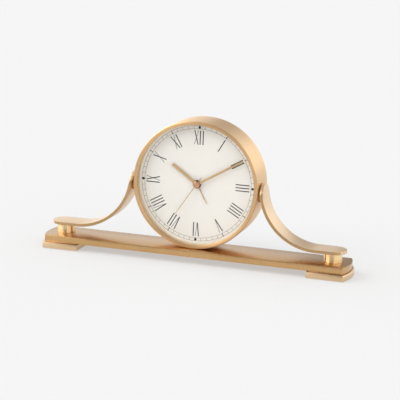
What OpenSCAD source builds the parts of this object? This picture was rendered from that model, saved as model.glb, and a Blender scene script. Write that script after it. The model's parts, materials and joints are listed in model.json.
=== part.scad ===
// Tambour mantel clock: an upright drum case on a long base plate, held by two curved arms.
// The front faces -Y. The origin is the centre of the footprint, on the resting plane.
// Inside the case, depths are measured backwards from the front face of the drum.

/* [Base] */
// Length of the base plate over its bowed ends
base_len = 318; // [300:1:340]
// Depth of the base plate from front to back
base_d = 45; // [42:1:54]
// Thickness of the base plate
base_t = 6.5; // [5:0.5:9]
// How far each end of the base plate bows outwards
end_bow = 4; // [2:0.5:7]

/* [Feet] */
// Length of each foot
foot_len = 42; // [36:1:50]
// Height of each foot
foot_h = 6.5; // [5.5:0.5:9]
// How far each foot stands proud of the base plate
foot_proud = 2.2; // [1:0.2:4]
// Bevel along the top edge of each foot
foot_bevel = 1.1; // [0.4:0.1:2]
// Radius of the round pads under the feet
pad_r = 4.5; // [3:0.5:6]
// How far the pads stand out below the feet
pad_out = 0.7; // [0.3:0.1:1.5]

/* [Pillars and arms] */
// Distance of each pillar from the end of the base plate
pillar_inset = 18.5; // [15:0.5:24]
// Radius of the pillars
pillar_r = 9.15; // [7:0.05:11]
// Height of the pillars
pillar_h = 9.7; // [8:0.1:16]
// Width of the arms
arm_w = 27; // [22:1:32]
// Thickness of the arms
arm_t = 3; // [2:0.5:4]
// Gap between the arms and the widest part of the drum
arm_gap = 1.5; // [0.8:0.1:3]
// Radius of the sweep of the arms, on the side of the drum
arm_sweep = 59; // [50:1:62]
// How far the screws of the arms sit below the middle of the drum
stud_drop = 6.9; // [4:0.1:12]
// Radius of the studs and screws that hold the frame
stud_r = 2; // [1.5:0.1:2.5]
// Radius of the spacers between the arms and the drum
spacer_r = 6; // [4:0.5:8]

/* [Drum case] */
// Outer radius of the drum
case_r = 64.5; // [62:0.5:70]
// Depth of the drum from front to back
case_depth = 36; // [35:0.5:42]
// Wall thickness of the drum
case_wall = 2; // [1.5:0.1:2.5]
// Front face of the drum, in front of the middle of the base plate
case_front = 14; // [10:0.5:18]
// Width of the lip that the front of the drum turns in
lip_w = 3.5; // [3:0.1:5]
// Thickness of the lip
lip_t = 1.6; // [1.2:0.1:2]
// Rounding of the outer front edge of the drum
edge_round = 1.2; // [0.4:0.1:1.5]

/* [Glass and dial] */
// Thickness of the seal between lip and glass
seal_t = 0.4; // [0.3:0.1:0.6]
// Thickness of the glass
glass_t = 1.6; // [1:0.1:2]
// Depth of the ring between glass and dial
dial_ring_d = 5.4; // [5.2:0.1:7]
// Thickness of the dial
dial_t = 1; // [0.5:0.1:1.2]
// Radius of the hole in the dial
dial_hole_r = 4.1; // [4:0.05:4.5]

/* [Hands] */
// Time shown: the angle of the hour hand from twelve
hour_angle = 304.8; // [0:0.1:360]
// Angle of the minute hand from twelve
minute_angle = 59.3; // [0:0.1:360]
// Angle of the second hand from twelve
second_angle = 213.5; // [0:0.1:360]
// Angle of the alarm hand from twelve
alarm_angle = 151; // [0:0.1:360]
// Length of the hour hand
hour_len = 32; // [26:0.5:38]
// Width of the hour hand
hour_w = 3.2; // [2:0.1:4]
// How far inside the lip the minute hand ends
minute_short = 6.5; // [4:0.5:12]
// Width of the minute hand
minute_w = 2.3; // [1.5:0.1:3]
// Length of the second hand
second_len = 39; // [30:0.5:50]
// Width of the second hand
second_w = 0.8; // [0.5:0.1:1.2]
// Length of the tail of the second hand
second_tail = 9; // [6:0.5:14]
// Length of the alarm hand
alarm_len = 22; // [16:0.5:28]
// Width of the alarm hand where it leaves the hub
alarm_w = 1.4; // [0.8:0.1:2]
// Thickness of the hands
hand_t = 0.3; // [0.2:0.05:0.35]
// Radius of the hubs of the hands
hub_r = 3.6; // [3.4:0.1:3.8]

/* [Movement] */
// Width and height of the movement
move_w = 56; // [56:0.5:58]
// Thickness of the walls of the movement
move_wall = 1.3; // [1:0.1:1.5]
// Free space behind the last wheel of the movement
move_spare = 1.2; // [1:0.1:2]
// Thickness of the front plate of the movement
move_plate = 1.2; // [1:0.1:1.6]
// Radius of the battery
cell_r = 7.1; // [6.9:0.05:7.1]
// Length of the battery over its contact
cell_len = 50.5; // [49:0.5:50.5]
// Radius of the two setting knobs
knob_r = 5; // [4:0.5:6]
// Height of the two setting knobs
knob_h = 5; // [3.5:0.5:5]
// Travel of the alarm switch
switch_travel = 4; // [2:0.5:5]

/* [Gears] */
// Thickness of the wheels
wheel_t = 0.8; // [0.5:0.1:0.8]
// Thickness of the pinions
pinion_t = 1.4; // [1:0.1:1.4]
// Teeth of the small pinions of the train
train_leaves = 8; // [8:1:8]
// Teeth of the third wheel
third_teeth = 60; // [60:1:60]
// Teeth of the centre wheel
centre_teeth = 64; // [64:1:64]
// Distance of the third arbor from the centre
train_centres = 10.8; // [10.6:0.05:10.8]
// Gap between a pinion and the next wheel behind it
level_gap = 0.4; // [0.3:0.05:0.6]
// Share of the pitch that a tooth fills
tooth_share = 0.4; // [0.34:0.01:0.42]

/* [Fits] */
// Radial clearance of an arbor in its bearing
running_fit = 0.08; // [0.05:0.01:0.1]
// Clearance around a screw or a stud
screw_fit = 0.1; // [0.05:0.05:0.2]
// Clearance around a piece that drops into the drum
case_fit = 0.2; // [0.1:0.05:0.3]
// Gap between the drum and the base plate
drum_gap = 0.2; // [0.1:0.05:0.4]

/* [Mounting frame and rear cover] */
// Thickness of the mounting frame
frame_t = 1.6; // [1.2:0.1:2]
// Thickness of the rear cover
rear_t = 1.8; // [1.5:0.1:2.5]
// Distance of the cover posts from the wall of the drum
post_inset = 12.5; // [9:0.5:14]
// Radius of the cover posts
post_r = 3.4; // [3:0.1:4]

/* [Hidden] */
$fn = 96;

// Heights of the stand
foot_z = pad_out;
base_z = foot_z + foot_h;
base_top = base_z + base_t;
arm_z = base_top + pillar_h;

// The end of the base plate is an arc, and the foot and the pillar follow it
pillar_x = base_len / 2 - pillar_inset;
end_r = (pow(base_d / 2, 2) + pow(end_bow, 2)) / (2 * end_bow);
foot_d = base_d + 2 * foot_proud;
foot_end_r = end_r + foot_proud;
foot_end_x = base_len / 2 + foot_proud;
foot_inner_x = foot_end_x - foot_len;
foot_screw_x = foot_inner_x + 7;
foot_screw_y = base_d / 2 - 9.5;
foot_screw_r = 1.5;
foot_screw_len = 9;
pad_x = pillar_x + 1;
pad_y = foot_d / 2 - pad_r - 3.2;
pad_t = 1.5;

// The drum stands on the base plate, just clear of it
case_z = base_top + drum_gap + case_r;
case_y = -case_front;
bore_r = case_r - case_wall;
drop_r = bore_r - case_fit;
lip_r = case_r - lip_w;
stand_depth = case_depth / 2;

// The arms sweep up beside the drum, and lie flat on the pillars
arm_face_x = case_r + arm_gap;
stud_z = case_z - stud_drop;
arm_top = stud_z + arm_w / 2;
bend_r = min(arm_sweep, pillar_x - pillar_r - arm_face_x, arm_top - arm_z);
arm_bend_x = arm_face_x + bend_r;
arm_bend_z = arm_z + bend_r;
arm_end_x = pillar_x + arm_w / 2;
stud_depth = 4.5;
nut_r = 3.6;
nut_h = 3;
nut_room = 6;
nut_fit = 0.05;

// Depths behind the front face of the drum
glass_front = lip_t + seal_t;
glass_back = glass_front + glass_t;
dial_face = glass_back + dial_ring_d;
dial_back = dial_face + dial_t;
frame_back = dial_back + frame_t;
room_front = frame_back + move_plate;

// Levels of the wheels behind the front plate: a pinion overhangs its wheel on both faces
pinion_lead = (pinion_t - wheel_t) / 2;
level_pitch = wheel_t + 2 * pinion_lead + level_gap;
alarm_level = room_front + 0.5;
hour_level = alarm_level + wheel_t + pinion_lead + 0.5;
motion_level = hour_level + level_pitch;
centre_level = motion_level + level_pitch + 0.2;
third_level = centre_level + level_pitch + 0.6;
second_level = third_level + level_pitch;
step_level = second_level + level_pitch;
room_back = step_level + wheel_t + pinion_lead + move_spare;
magnet_level = third_level - 0.3;
magnet_t = 2;

// Depths of the back of the movement and of the rear cover
move_back_face = room_back + move_wall;
cover_front = move_back_face + 0.2;
cover_back = cover_front + rear_t;
post_ring = bore_r - post_inset;
boss_h = 0.8;
front_boss_h = 1;

// Teeth and modules: both train meshes share one centre distance
train_module = 2 * train_centres / (train_leaves + centre_teeth);
third_module = 2 * train_centres / (train_leaves + third_teeth);
second_teeth = 60;
step_leaves = 10;
step_teeth = 40;
step_module = 0.3;
cannon_leaves = 12;
motion_teeth = 36;
cannon_module = 0.375;
motion_leaves = 10;
hour_teeth = 40;
hour_module = 0.36;
setting_leaves = 12;
alarm_teeth = 40;
alarm_module = 0.36;

// Directions between the arbors, and where the arbors stand
third_dir = 115;
step_dir = 30;
rotor_dir = 60;
motion_dir = -20;
setting_dir = 10;
alarm_dir = 190;
step_centres = step_module * (second_teeth + step_leaves) / 2;
rotor_centres = step_module * (step_teeth + train_leaves) / 2;
motion_centres = cannon_module * (cannon_leaves + motion_teeth) / 2;
setting_centres = cannon_module * (setting_leaves + motion_teeth) / 2;
alarm_centres = alarm_module * alarm_teeth;
third_at = along(train_centres, third_dir);
step_at = along(step_centres, step_dir);
rotor_at = step_at + along(rotor_centres, rotor_dir);
motion_at = along(motion_centres, motion_dir);
setting_at = motion_at + along(setting_centres, setting_dir);
alarm_at = along(alarm_centres, alarm_dir);

// Arbors and the pipes that turn inside each other
arbor_r = 0.5;
knob_arbor_r = 1;
post_arbor_r = 0.8;
minute_pipe_r = 1.55;
hour_pipe_r = 2.55;
alarm_pipe_r = 3.25;
bush_r = 3.9;
magnet_r = 2.6;
post_screw_r = 1;
stator_hole_r = 3.1;

// Levels of the hands, from the dial forwards
alarm_hub_back = dial_face - 0.15;
hub_step = 1.05;
hub_gap = 0.1;
alarm_hub_front = alarm_hub_back - hub_step;
hour_hub_back = alarm_hub_front - hub_gap;
hour_hub_front = hour_hub_back - hub_step;
minute_hub_back = hour_hub_front - hub_gap;
minute_hub_front = minute_hub_back - hub_step;
second_hub_back = minute_hub_front - hub_gap;
second_hub_front = second_hub_back - hub_step * 0.8;

// Battery bay, along the bottom of the movement
move_half = move_w / 2;
move_in = move_half - move_wall;
bay_wall = 1;
bay_top = -move_in + 2 * cell_r + 0.8;
cell_z = -move_in + cell_r + 0.4;
cell_cover_t = 1.1;
cell_depth = move_back_face - cell_cover_t - 0.1 - cell_r;
cover_play = 0.2;
bay_half_x = move_in - 0.6;
nub_r = 2.6;
nub_h = 1.2;
contact_t = 0.4;
window_half = move_half - 1;

// The board lies along the left wall of the movement, behind the buzzer
board_level = step_level - 0.9;
board_t = 1.2;
board_x0 = -move_in + 0.1;
board_w = 10.6;
board_z0 = 6;
board_h = 20;

// The stator holds the rotor in its hole, and its two legs hold the core of the coil
stator_t = 1.2;
stator_level = magnet_level + (magnet_t - stator_t) / 2;
stator_x0 = 9;
stator_x1 = 25;
stator_z0 = 7.8;
leg_w = 2.6;
coil_z = 21;
core_r = 1.1;

// The buzzer lies in front of the board
buzzer_at = [-20.4, 14];
buzzer_r = 5.6;

// A point at a distance and an angle from the centre
function along(r, a) = [r * cos(a), r * sin(a)];

// Phase of a gear that meshes with a gear of n1 teeth and phase p1, in direction dir
function mesh_phase(p1, n1, n2, dir) = dir + 180 + (dir - p1) * n1 / n2 + 180 / n2;

second_pinion_phase = third_dir;
third_phase = mesh_phase(second_pinion_phase, train_leaves, third_teeth, third_dir);
third_pinion_phase = third_dir + 180;
centre_phase = mesh_phase(third_pinion_phase, train_leaves, centre_teeth, third_dir + 180);
second_phase = step_dir;
step_pinion_phase = mesh_phase(second_phase, second_teeth, step_leaves, step_dir);
step_phase = rotor_dir;
rotor_phase = mesh_phase(step_phase, step_teeth, train_leaves, rotor_dir);
cannon_phase = motion_dir;
motion_phase = mesh_phase(cannon_phase, cannon_leaves, motion_teeth, motion_dir);
motion_pinion_phase = motion_dir + 180;
hour_phase = mesh_phase(motion_pinion_phase, motion_leaves, hour_teeth, motion_dir + 180);
setting_phase = mesh_phase(motion_phase, motion_teeth, setting_leaves, setting_dir);
alarm_phase = alarm_dir;
alarm_setting_phase = mesh_phase(alarm_phase, alarm_teeth, alarm_teeth, alarm_dir);

// An upright outline in the case, from depth a to depth b
module slab(a, b, at = [0, 0]) {
    translate([at[0], case_y + b, case_z + at[1]])
        rotate([90, 0, 0])
            linear_extrude(height = b - a)
                children();
}

// A round rod in the case, from depth a to depth b
module rod(r, a, b, at = [0, 0]) {
    translate([at[0], case_y + b, case_z + at[1]])
        rotate([90, 0, 0])
            cylinder(r = r, h = b - a);
}

// A round tube in the case, from depth a to depth b
module pipe(r_out, r_in, a, b, at = [0, 0]) {
    difference() {
        rod(r_out, a, b, at);
        rod(r_in, a - 1, b + 1, at);
    }
}

// Outline of a gear with straight-sided teeth and a twelve-sided seat for its arbor
module gear_outline(n, m, seat_r, phase) {
    pitch_r = n * m / 2;
    root_r = pitch_r - 1.1 * m;
    tip_r = pitch_r + 0.8 * m;
    half = tooth_share * m * 90;
    slope = 0.8 * m * tan(20) * 180 / PI;
    root_half = half * 1.05 / root_r;
    pitch_half = half / pitch_r;
    tip_half = (half - slope) / tip_r;
    tooth = [
        [root_r, -root_half], [pitch_r, -pitch_half], [tip_r, -tip_half],
        [tip_r, tip_half], [pitch_r, pitch_half], [root_r, root_half]
    ];
    difference() {
        polygon([for (i = [0 : n - 1], p = tooth) along(p[0], p[1] + phase + i * 360 / n)]);
        circle(r = seat_r / cos(15) + 0.02, $fn = 12);
    }
}

// A wheel on its level
module wheel(n, m, seat_r, phase, level, at = [0, 0]) {
    slab(level, level + wheel_t, at)
        gear_outline(n, m, seat_r, phase);
}

// A pinion that overhangs the wheel it meshes with on both faces
module pinion(n, m, seat_r, phase, level, at = [0, 0]) {
    slab(level - pinion_lead, level + wheel_t + pinion_lead, at)
        gear_outline(n, m, seat_r, phase);
}

// Outline of a plate from x0 to x1, whose end at x1 is an arc of radius r
module bowed_outline(x0, x1, depth, r) {
    intersection() {
        translate([x0, -depth / 2])
            square([x1 - x0, depth]);
        union() {
            translate([x1 - r, 0])
                circle(r = r, $fn = 180);
            translate([x1 - r - base_len, -depth])
                square([base_len, 2 * depth]);
        }
    }
}

// Mirrors a right-hand piece when side is -1
module on_side(side) {
    if (side > 0)
        children();
    else
        mirror([1, 0, 0])
            children();
}

module base_plate() {
    color("#C9A06C")
        difference() {
            translate([0, 0, base_z])
                linear_extrude(height = base_t)
                    for (side = [-1, 1])
                        on_side(side)
                            bowed_outline(0, base_len / 2, base_d, end_r);
            for (side = [-1, 1]) {
                translate([side * pillar_x, 0, base_z - 1])
                    cylinder(r = stud_r + screw_fit, h = base_t + 2);
                for (y = [-foot_screw_y, foot_screw_y])
                    translate([side * foot_screw_x, y, base_z - 1])
                        cylinder(r = foot_screw_r + screw_fit, h = base_t - 0.5);
            }
            translate([0, case_y + stand_depth, base_z - 1])
                cylinder(r = stud_r + screw_fit, h = base_t + 2);
            translate([0, case_y + stand_depth, base_z - 1])
                cylinder(r = 2 * stud_r + screw_fit, h = 1 + stud_r + 0.2);
        }
}

// One foot, with a bevelled top edge and recesses for screws and pads
module foot() {
    difference() {
        intersection() {
            translate([foot_inner_x, 0, foot_z])
                rotate([90, 0, 90])
                    linear_extrude(height = foot_len + 1)
                        polygon([
                            [-foot_d / 2, 0], [foot_d / 2, 0], [foot_d / 2, foot_h - foot_bevel],
                            [foot_d / 2 - foot_bevel, foot_h], [foot_bevel - foot_d / 2, foot_h],
                            [-foot_d / 2, foot_h - foot_bevel]
                        ]);
            translate([foot_end_x - foot_end_r, 0, foot_z])
                rotate_extrude($fn = 180)
                    polygon([
                        [0, 0], [foot_end_r, 0], [foot_end_r, foot_h - foot_bevel],
                        [foot_end_r - foot_bevel, foot_h], [0, foot_h]
                    ]);
        }
        translate([pillar_x, 0, foot_z - 1])
            cylinder(r = stud_r + screw_fit, h = foot_h + 2);
        translate([pillar_x, 0, foot_z - 1])
            cylinder(r = 2 * stud_r + screw_fit, h = 1 + stud_r + 0.5);
        for (y = [-foot_screw_y, foot_screw_y]) {
            translate([foot_screw_x, y, foot_z - 1])
                cylinder(r = foot_screw_r + screw_fit, h = foot_h + 2);
            translate([foot_screw_x, y, foot_z - 1])
                cylinder(r = 2 * foot_screw_r + screw_fit, h = 1 + foot_screw_r + 0.3);
        }
        for (y = [-pad_y, pad_y])
            translate([pad_x, y, foot_z - 1])
                cylinder(r = pad_r + screw_fit, h = 1 + pad_t - pad_out);
    }
}

module left_foot() {
    color("#D2AC7C")
        on_side(-1)
            foot();
}

module right_foot() {
    color("#D2AC7C")
        foot();
}

module foot_pads() {
    color("#2B2B2B")
        for (side = [-1, 1], y = [-pad_y, pad_y])
            translate([side * pad_x, y, 0])
                cylinder(r = pad_r, h = pad_t);
}

// A pan-headed screw pointing up, with its head at the origin
module screw_up(r, len) {
    rotate_extrude($fn = 48)
        polygon([[0, 0], [2 * r, 0], [2 * r, r], [r, r], [r, len], [0, len]]);
}

module foot_screws() {
    color("#8E8E92")
        for (side = [-1, 1], y = [-foot_screw_y, foot_screw_y])
            translate([side * foot_screw_x, y, foot_z + 0.3])
                screw_up(foot_screw_r, foot_screw_len);
}

// A pillar is a polished sleeve, tapped at both ends
module pillar() {
    translate([pillar_x, 0, base_top])
        difference() {
            rotate_extrude()
                polygon([
                    [0, 0], [pillar_r - 0.3, 0], [pillar_r, 0.3],
                    [pillar_r, pillar_h - 0.3], [pillar_r - 0.3, pillar_h], [0, pillar_h]
                ]);
            translate([0, 0, -1])
                cylinder(r = stud_r + screw_fit, h = pillar_h + 2);
        }
}

module left_pillar() {
    color("#E0AE70")
        on_side(-1)
            pillar();
}

module right_pillar() {
    color("#E0AE70")
        pillar();
}

module pillar_screws() {
    color("#8E8E92")
        for (side = [-1, 1])
            translate([side * pillar_x, 0, foot_z + 0.5])
                screw_up(stud_r, base_top - foot_z - 0.5 + pillar_h - stud_depth - 0.3);
}

// Upright outline of an arm: a foot, a quarter sweep and a short rise
module arm_outline() {
    translate([arm_bend_x, arm_z])
        square([arm_end_x - arm_bend_x, arm_t]);
    translate([arm_face_x, arm_bend_z])
        square([arm_t, arm_top - arm_bend_z + 1]);
    intersection() {
        translate([arm_bend_x, arm_bend_z])
            difference() {
                circle(r = bend_r, $fn = 180);
                circle(r = bend_r - arm_t, $fn = 180);
            }
        translate([arm_face_x - 1, arm_z - 1])
            square([bend_r + 1, bend_r + 1]);
    }
}

// The right arm: a strap with a round tongue at both ends, and a stud in each tongue
module arm() {
    intersection() {
        translate([0, arm_w / 2, 0])
            rotate([90, 0, 0])
                linear_extrude(height = arm_w)
                    arm_outline();
        union() {
            translate([0, -arm_w / 2, 0])
                cube([pillar_x, arm_w, arm_top + 10]);
            translate([pillar_x, 0, 0])
                cylinder(r = arm_w / 2, h = arm_top + 10);
        }
        union() {
            translate([0, -arm_w / 2, 0])
                cube([arm_end_x + 10, arm_w, stud_z]);
            translate([0, 0, stud_z])
                rotate([0, 90, 0])
                    cylinder(r = arm_w / 2, h = arm_end_x + 10);
        }
    }
    translate([pillar_x, 0, arm_z - stud_depth])
        cylinder(r = stud_r, h = stud_depth + arm_t / 2);
    translate([bore_r - nut_h - 1.5, 0, stud_z])
        rotate([0, 90, 0])
            cylinder(r = stud_r, h = arm_face_x + arm_t - bore_r + nut_h + 1.5);
}

module left_arm() {
    color("#D9B78C")
        on_side(-1)
            arm();
}

module right_arm() {
    color("#D9B78C")
        arm();
}

// A saddle-shaped spacer between the drum and an arm
module spacer() {
    difference() {
        translate([case_r - 4, 0, stud_z])
            rotate([0, 90, 0])
                cylinder(r = spacer_r, h = 12);
        translate([case_r - 5, 0, stud_z])
            rotate([0, 90, 0])
                cylinder(r = stud_r + screw_fit, h = 14);
        translate([0, case_depth, case_z])
            rotate([90, 0, 0])
                cylinder(r = case_r + 0.02, h = 2 * case_depth, $fn = 180);
        translate([arm_bend_x, case_depth, arm_bend_z])
            rotate([90, 0, 0])
                cylinder(r = bend_r + 0.02, h = 2 * case_depth, $fn = 180);
        translate([arm_face_x - 0.02, -case_depth, arm_bend_z])
            cube([20, 2 * case_depth, 20]);
    }
}

module left_spacer() {
    color("#C9A06C")
        on_side(-1)
            spacer();
}

module right_spacer() {
    color("#C9A06C")
        spacer();
}

// A hexagon nut on the X axis, with its back face at the origin
module side_nut() {
    rotate([0, 90, 0])
        difference() {
            cylinder(r = nut_r, h = nut_h, $fn = 6);
            translate([0, 0, -1])
                cylinder(r = stud_r + nut_fit, h = nut_h + 2);
        }
}

module arm_nuts() {
    color("#8E8E92")
        for (side = [-1, 1])
            on_side(side)
                translate([sqrt(pow(bore_r, 2) - pow(case_z - stud_z + nut_r, 2)) - nut_h - nut_fit, 0, stud_z])
                    side_nut();
}

module case_screw() {
    color("#8E8E92")
        translate([0, case_y + stand_depth, base_z + 0.2])
            screw_up(stud_r, base_t + case_wall + nut_h + 1.8);
}

module case_nut() {
    color("#8E8E92")
        translate([0, case_y + stand_depth, case_z - sqrt(pow(bore_r, 2) - pow(nut_r, 2)) + 0.02])
            difference() {
                cylinder(r = nut_r, h = nut_h, $fn = 6);
                translate([0, 0, -1])
                    cylinder(r = stud_r + nut_fit, h = nut_h + 2);
            }
}

// Section of the drum wall, with the lip turned in at the front
module drum_section() {
    difference() {
        union() {
            translate([bore_r, -case_depth])
                square([case_wall, case_depth]);
            translate([lip_r, -lip_t])
                square([lip_w, lip_t]);
        }
        difference() {
            translate([case_r - edge_round, -edge_round])
                square([edge_round + 1, edge_round + 1]);
            translate([case_r - edge_round, -edge_round])
                circle(r = edge_round, $fn = 48);
        }
    }
}

module case_drum() {
    color("#CFA676")
        difference() {
            translate([0, case_y, case_z])
                rotate([90, 0, 0])
                    rotate_extrude($fn = 180)
                        drum_section();
            for (side = [-1, 1])
                on_side(side)
                    translate([bore_r - 6, 0, stud_z])
                        rotate([0, 90, 0])
                            cylinder(r = stud_r + screw_fit, h = 12);
            translate([0, case_y + stand_depth, case_z - case_r - 2])
                cylinder(r = stud_r + screw_fit, h = 8);
        }
}

module glass_seal() {
    color("#3A3A3A")
        pipe(drop_r, lip_r, lip_t, glass_front);
}

module glass() {
    color("#E8F0F2", 0.3)
        rod(drop_r, glass_front, glass_back);
}

module dial_ring() {
    color("#C8A070")
        pipe(drop_r, lip_r - 0.2, glass_back, dial_face);
}

module dial() {
    color("#F1ECE2")
        pipe(drop_r, dial_hole_r, dial_face, dial_back);
}

// One corner rail that keeps the movement in the middle
module corner_rail() {
    difference() {
        translate([move_half - 8, move_half - 8])
            square(8 + 0.15 + 1.6);
        square(move_half + 0.15);
    }
}

module mounting_frame() {
    color("#2E2E30") {
        difference() {
            rod(bore_r, dial_back, frame_back);
            rod(bush_r + 0.3, dial_back - 1, frame_back + 1);
            for (side = [-1, 1])
                slab(dial_back - 1, frame_back + 1)
                    translate([side * bore_r, stud_z - case_z])
                        square([2 * nut_room, 3 * nut_r], center = true);
        }
        slab(frame_back, move_back_face - 2)
            for (a = [0, 90, 180, 270])
                rotate(a)
                    corner_rail();
        for (a = [0 : 90 : 270])
            difference() {
                rod(post_r, frame_back, cover_front, along(post_ring, a));
                rod(post_screw_r + screw_fit, cover_front - 8, cover_front + 1, along(post_ring, a));
            }
    }
}

module rear_cover() {
    color("#2A2A2C")
        difference() {
            rod(drop_r, cover_front, cover_back);
            slab(cover_front - 1, cover_back + 1)
                square(2 * window_half, center = true);
            for (a = [0 : 90 : 270])
                rod(post_screw_r + 3 * screw_fit, cover_front - 1, cover_back + 1, along(post_ring, a));
            for (x = [-12 : 4 : 12], z = [32 : 4 : 40])
                rod(0.9, cover_front - 1, cover_back + 1, [x, z]);
        }
}

module rear_cover_screws() {
    color("#8E8E92")
        for (a = [0 : 90 : 270]) {
            rod(2.2 * post_screw_r, cover_back, cover_back + 1.2, along(post_ring, a));
            rod(post_screw_r, cover_front - 7, cover_back + 0.5, along(post_ring, a));
        }
}

module movement_front() {
    color("#E6E6E2") {
        difference() {
            union() {
                slab(frame_back, room_front)
                    square(move_w, center = true);
                rod(bush_r, dial_face + 0.1, room_front);
                for (p = [third_at, step_at, rotor_at])
                    rod(1.4, frame_back, room_front + front_boss_h, p);
                rod(1.6, frame_back, room_front + front_boss_h, setting_at);
                rod(post_arbor_r, frame_back, motion_level + wheel_t + 0.3, motion_at);
            }
            rod(alarm_pipe_r + running_fit, 0, room_front + 1);
            for (p = [third_at, step_at, rotor_at])
                rod(arbor_r + running_fit, room_front + 0.2, room_front + 4, p);
            rod(arbor_r + running_fit, room_front - 0.8, room_front + 4, setting_at);
            rod(arbor_r + running_fit, room_front - 0.8, room_front + 4, alarm_at);
        }
    }
}

module movement_back() {
    color("#D8D8D4")
        difference() {
            union() {
                difference() {
                    slab(room_front, move_back_face)
                        square(move_w, center = true);
                    slab(room_front - 1, room_back)
                        square(2 * move_in, center = true);
                }
                slab(room_front, room_back + 0.1)
                    translate([-move_in - 0.1, bay_top])
                        square([2 * move_in + 0.2, bay_wall]);
                rod(1.5, room_back - boss_h, room_back + 0.1);
                for (p = [third_at, step_at, rotor_at])
                    rod(1.5, room_back - boss_h, room_back + 0.1, p);
            }
            slab(room_back - 1, move_back_face + 1)
                translate([-bay_half_x, -move_in + 0.3])
                    square([2 * bay_half_x, bay_top + move_in - 0.6]);
            rod(arbor_r + running_fit, room_back - boss_h - 1, room_back + 0.3);
            for (p = [third_at, step_at, rotor_at])
                rod(arbor_r + running_fit, room_back - boss_h - 1, room_back + 0.3, p);
            for (p = [setting_at, alarm_at])
                rod(knob_arbor_r + running_fit, room_back - 1, move_back_face + 1, p);
            slab(room_back - 1, move_back_face + 1)
                translate([-2.2 - switch_travel / 2, 21.3])
                    square([4.4 + switch_travel, 3.4]);
        }
}

module battery() {
    color("#3C6E47")
        translate([-cell_len / 2, case_y + cell_depth, case_z + cell_z])
            rotate([0, 90, 0]) {
                cylinder(r = cell_r, h = cell_len - nub_h);
                cylinder(r = nub_r, h = cell_len);
            }
}

module battery_cover() {
    color("#D8D8D4") {
        slab(move_back_face - cell_cover_t, move_back_face)
            translate([-bay_half_x + cover_play, -move_in + 0.3 + cover_play])
                square([2 * (bay_half_x - cover_play), bay_top + move_in - 0.6 - 2 * cover_play]);
        for (x = [-18 : 2 : -12])
            slab(move_back_face - 0.2, move_back_face + 0.5)
                translate([x, cell_z - 4])
                    square([0.8, 8]);
    }
}

module positive_contact() {
    color("#C9CBD0") {
        translate([move_in - contact_t, case_y + cell_depth - 4, case_z + cell_z - 4])
            cube([contact_t, 8, 8]);
        translate([cell_len / 2 + 0.05, case_y + cell_depth, case_z + cell_z])
            rotate([0, 90, 0])
                cylinder(r = 2, h = move_in - contact_t / 2 - cell_len / 2);
    }
}

module negative_contact() {
    color("#C9CBD0")
        mirror([1, 0, 0]) {
            translate([move_in - contact_t, case_y + cell_depth - 5, case_z + cell_z - 5])
                cube([contact_t, 10, 10]);
            translate([cell_len / 2 + 0.05, case_y + cell_depth, case_z + cell_z])
                rotate([0, 90, 0])
                    cylinder(r = 3, h = move_in - contact_t / 2 - cell_len / 2);
        }
}

module circuit_board() {
    color("#2F6B4A") {
        slab(board_level, board_level + board_t)
            translate([board_x0, board_z0])
                square([board_w, board_h]);
        rod(2.4, board_level + board_t - 0.1, board_level + board_t + 0.8, [board_x0 + 5, board_z0 + 5.5]);
    }
}

module quartz_crystal() {
    color("#B9BCC2")
        translate([board_x0 + 3, case_y + board_level - 1.05, case_z + board_z0 + 13])
            rotate([0, 90, 0])
                cylinder(r = 1, h = 6);
}

module stator() {
    color("#9A9DA3") {
        slab(stator_level, stator_level + stator_t)
            difference() {
                union() {
                    translate([stator_x0, stator_z0])
                        square([stator_x1 - stator_x0, 8.4]);
                    for (x = [stator_x0, stator_x1 - leg_w])
                        translate([x, stator_z0])
                            square([leg_w, coil_z + 3 - stator_z0]);
                }
                translate(rotor_at)
                    circle(r = stator_hole_r);
            }
        translate([stator_x0 + 0.2, case_y + stator_level - core_r, case_z + coil_z])
            rotate([0, 90, 0])
                cylinder(r = core_r, h = stator_x1 - stator_x0 - 0.4);
    }
}

module coil() {
    color("#B5683A")
        translate([stator_x0 + leg_w + 0.3, case_y + stator_level - core_r, case_z + coil_z])
            rotate([0, 90, 0])
                difference() {
                    union() {
                        cylinder(r = 2.9, h = stator_x1 - stator_x0 - 2 * leg_w - 0.6);
                        cylinder(r = 3.3, h = 0.6);
                        translate([0, 0, stator_x1 - stator_x0 - 2 * leg_w - 1.2])
                            cylinder(r = 3.3, h = 0.6);
                    }
                    translate([0, 0, -1])
                        cylinder(r = core_r + 0.1, h = 30);
                }
}

module buzzer() {
    color("#26262A")
        difference() {
            rod(buzzer_r, room_front, board_level - 2.2, buzzer_at);
            rod(1, board_level - 4, board_level - 1, buzzer_at);
        }
}

module rotor() {
    color("#4A4A50") {
        rod(arbor_r, room_front + 0.3, room_back + 0.2, rotor_at);
        pipe(magnet_r, arbor_r + 0.02, magnet_level, magnet_level + magnet_t, rotor_at);
    }
    color("#E8E4DA")
        pinion(train_leaves, step_module, arbor_r, rotor_phase, step_level, rotor_at);
}

module intermediate_gear() {
    color("#E8E4DA") {
        wheel(step_teeth, step_module, arbor_r, step_phase, step_level, step_at);
        pinion(step_leaves, step_module, arbor_r, step_pinion_phase, second_level, step_at);
    }
    color("#A9ABB0")
        rod(arbor_r, room_front + 0.3, room_back + 0.2, step_at);
}

module third_gear() {
    color("#E8E4DA") {
        wheel(third_teeth, third_module, arbor_r, third_phase, third_level, third_at);
        pinion(train_leaves, train_module, arbor_r, third_pinion_phase, centre_level, third_at);
    }
    color("#A9ABB0")
        rod(arbor_r, room_front + 0.3, room_back + 0.2, third_at);
}

module second_gear() {
    color("#E8E4DA") {
        wheel(second_teeth, step_module, arbor_r, second_phase, second_level);
        pinion(train_leaves, third_module, arbor_r, second_pinion_phase, third_level);
    }
    color("#A9ABB0")
        rod(arbor_r, second_hub_front + 0.3, room_back + 0.2);
}

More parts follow.
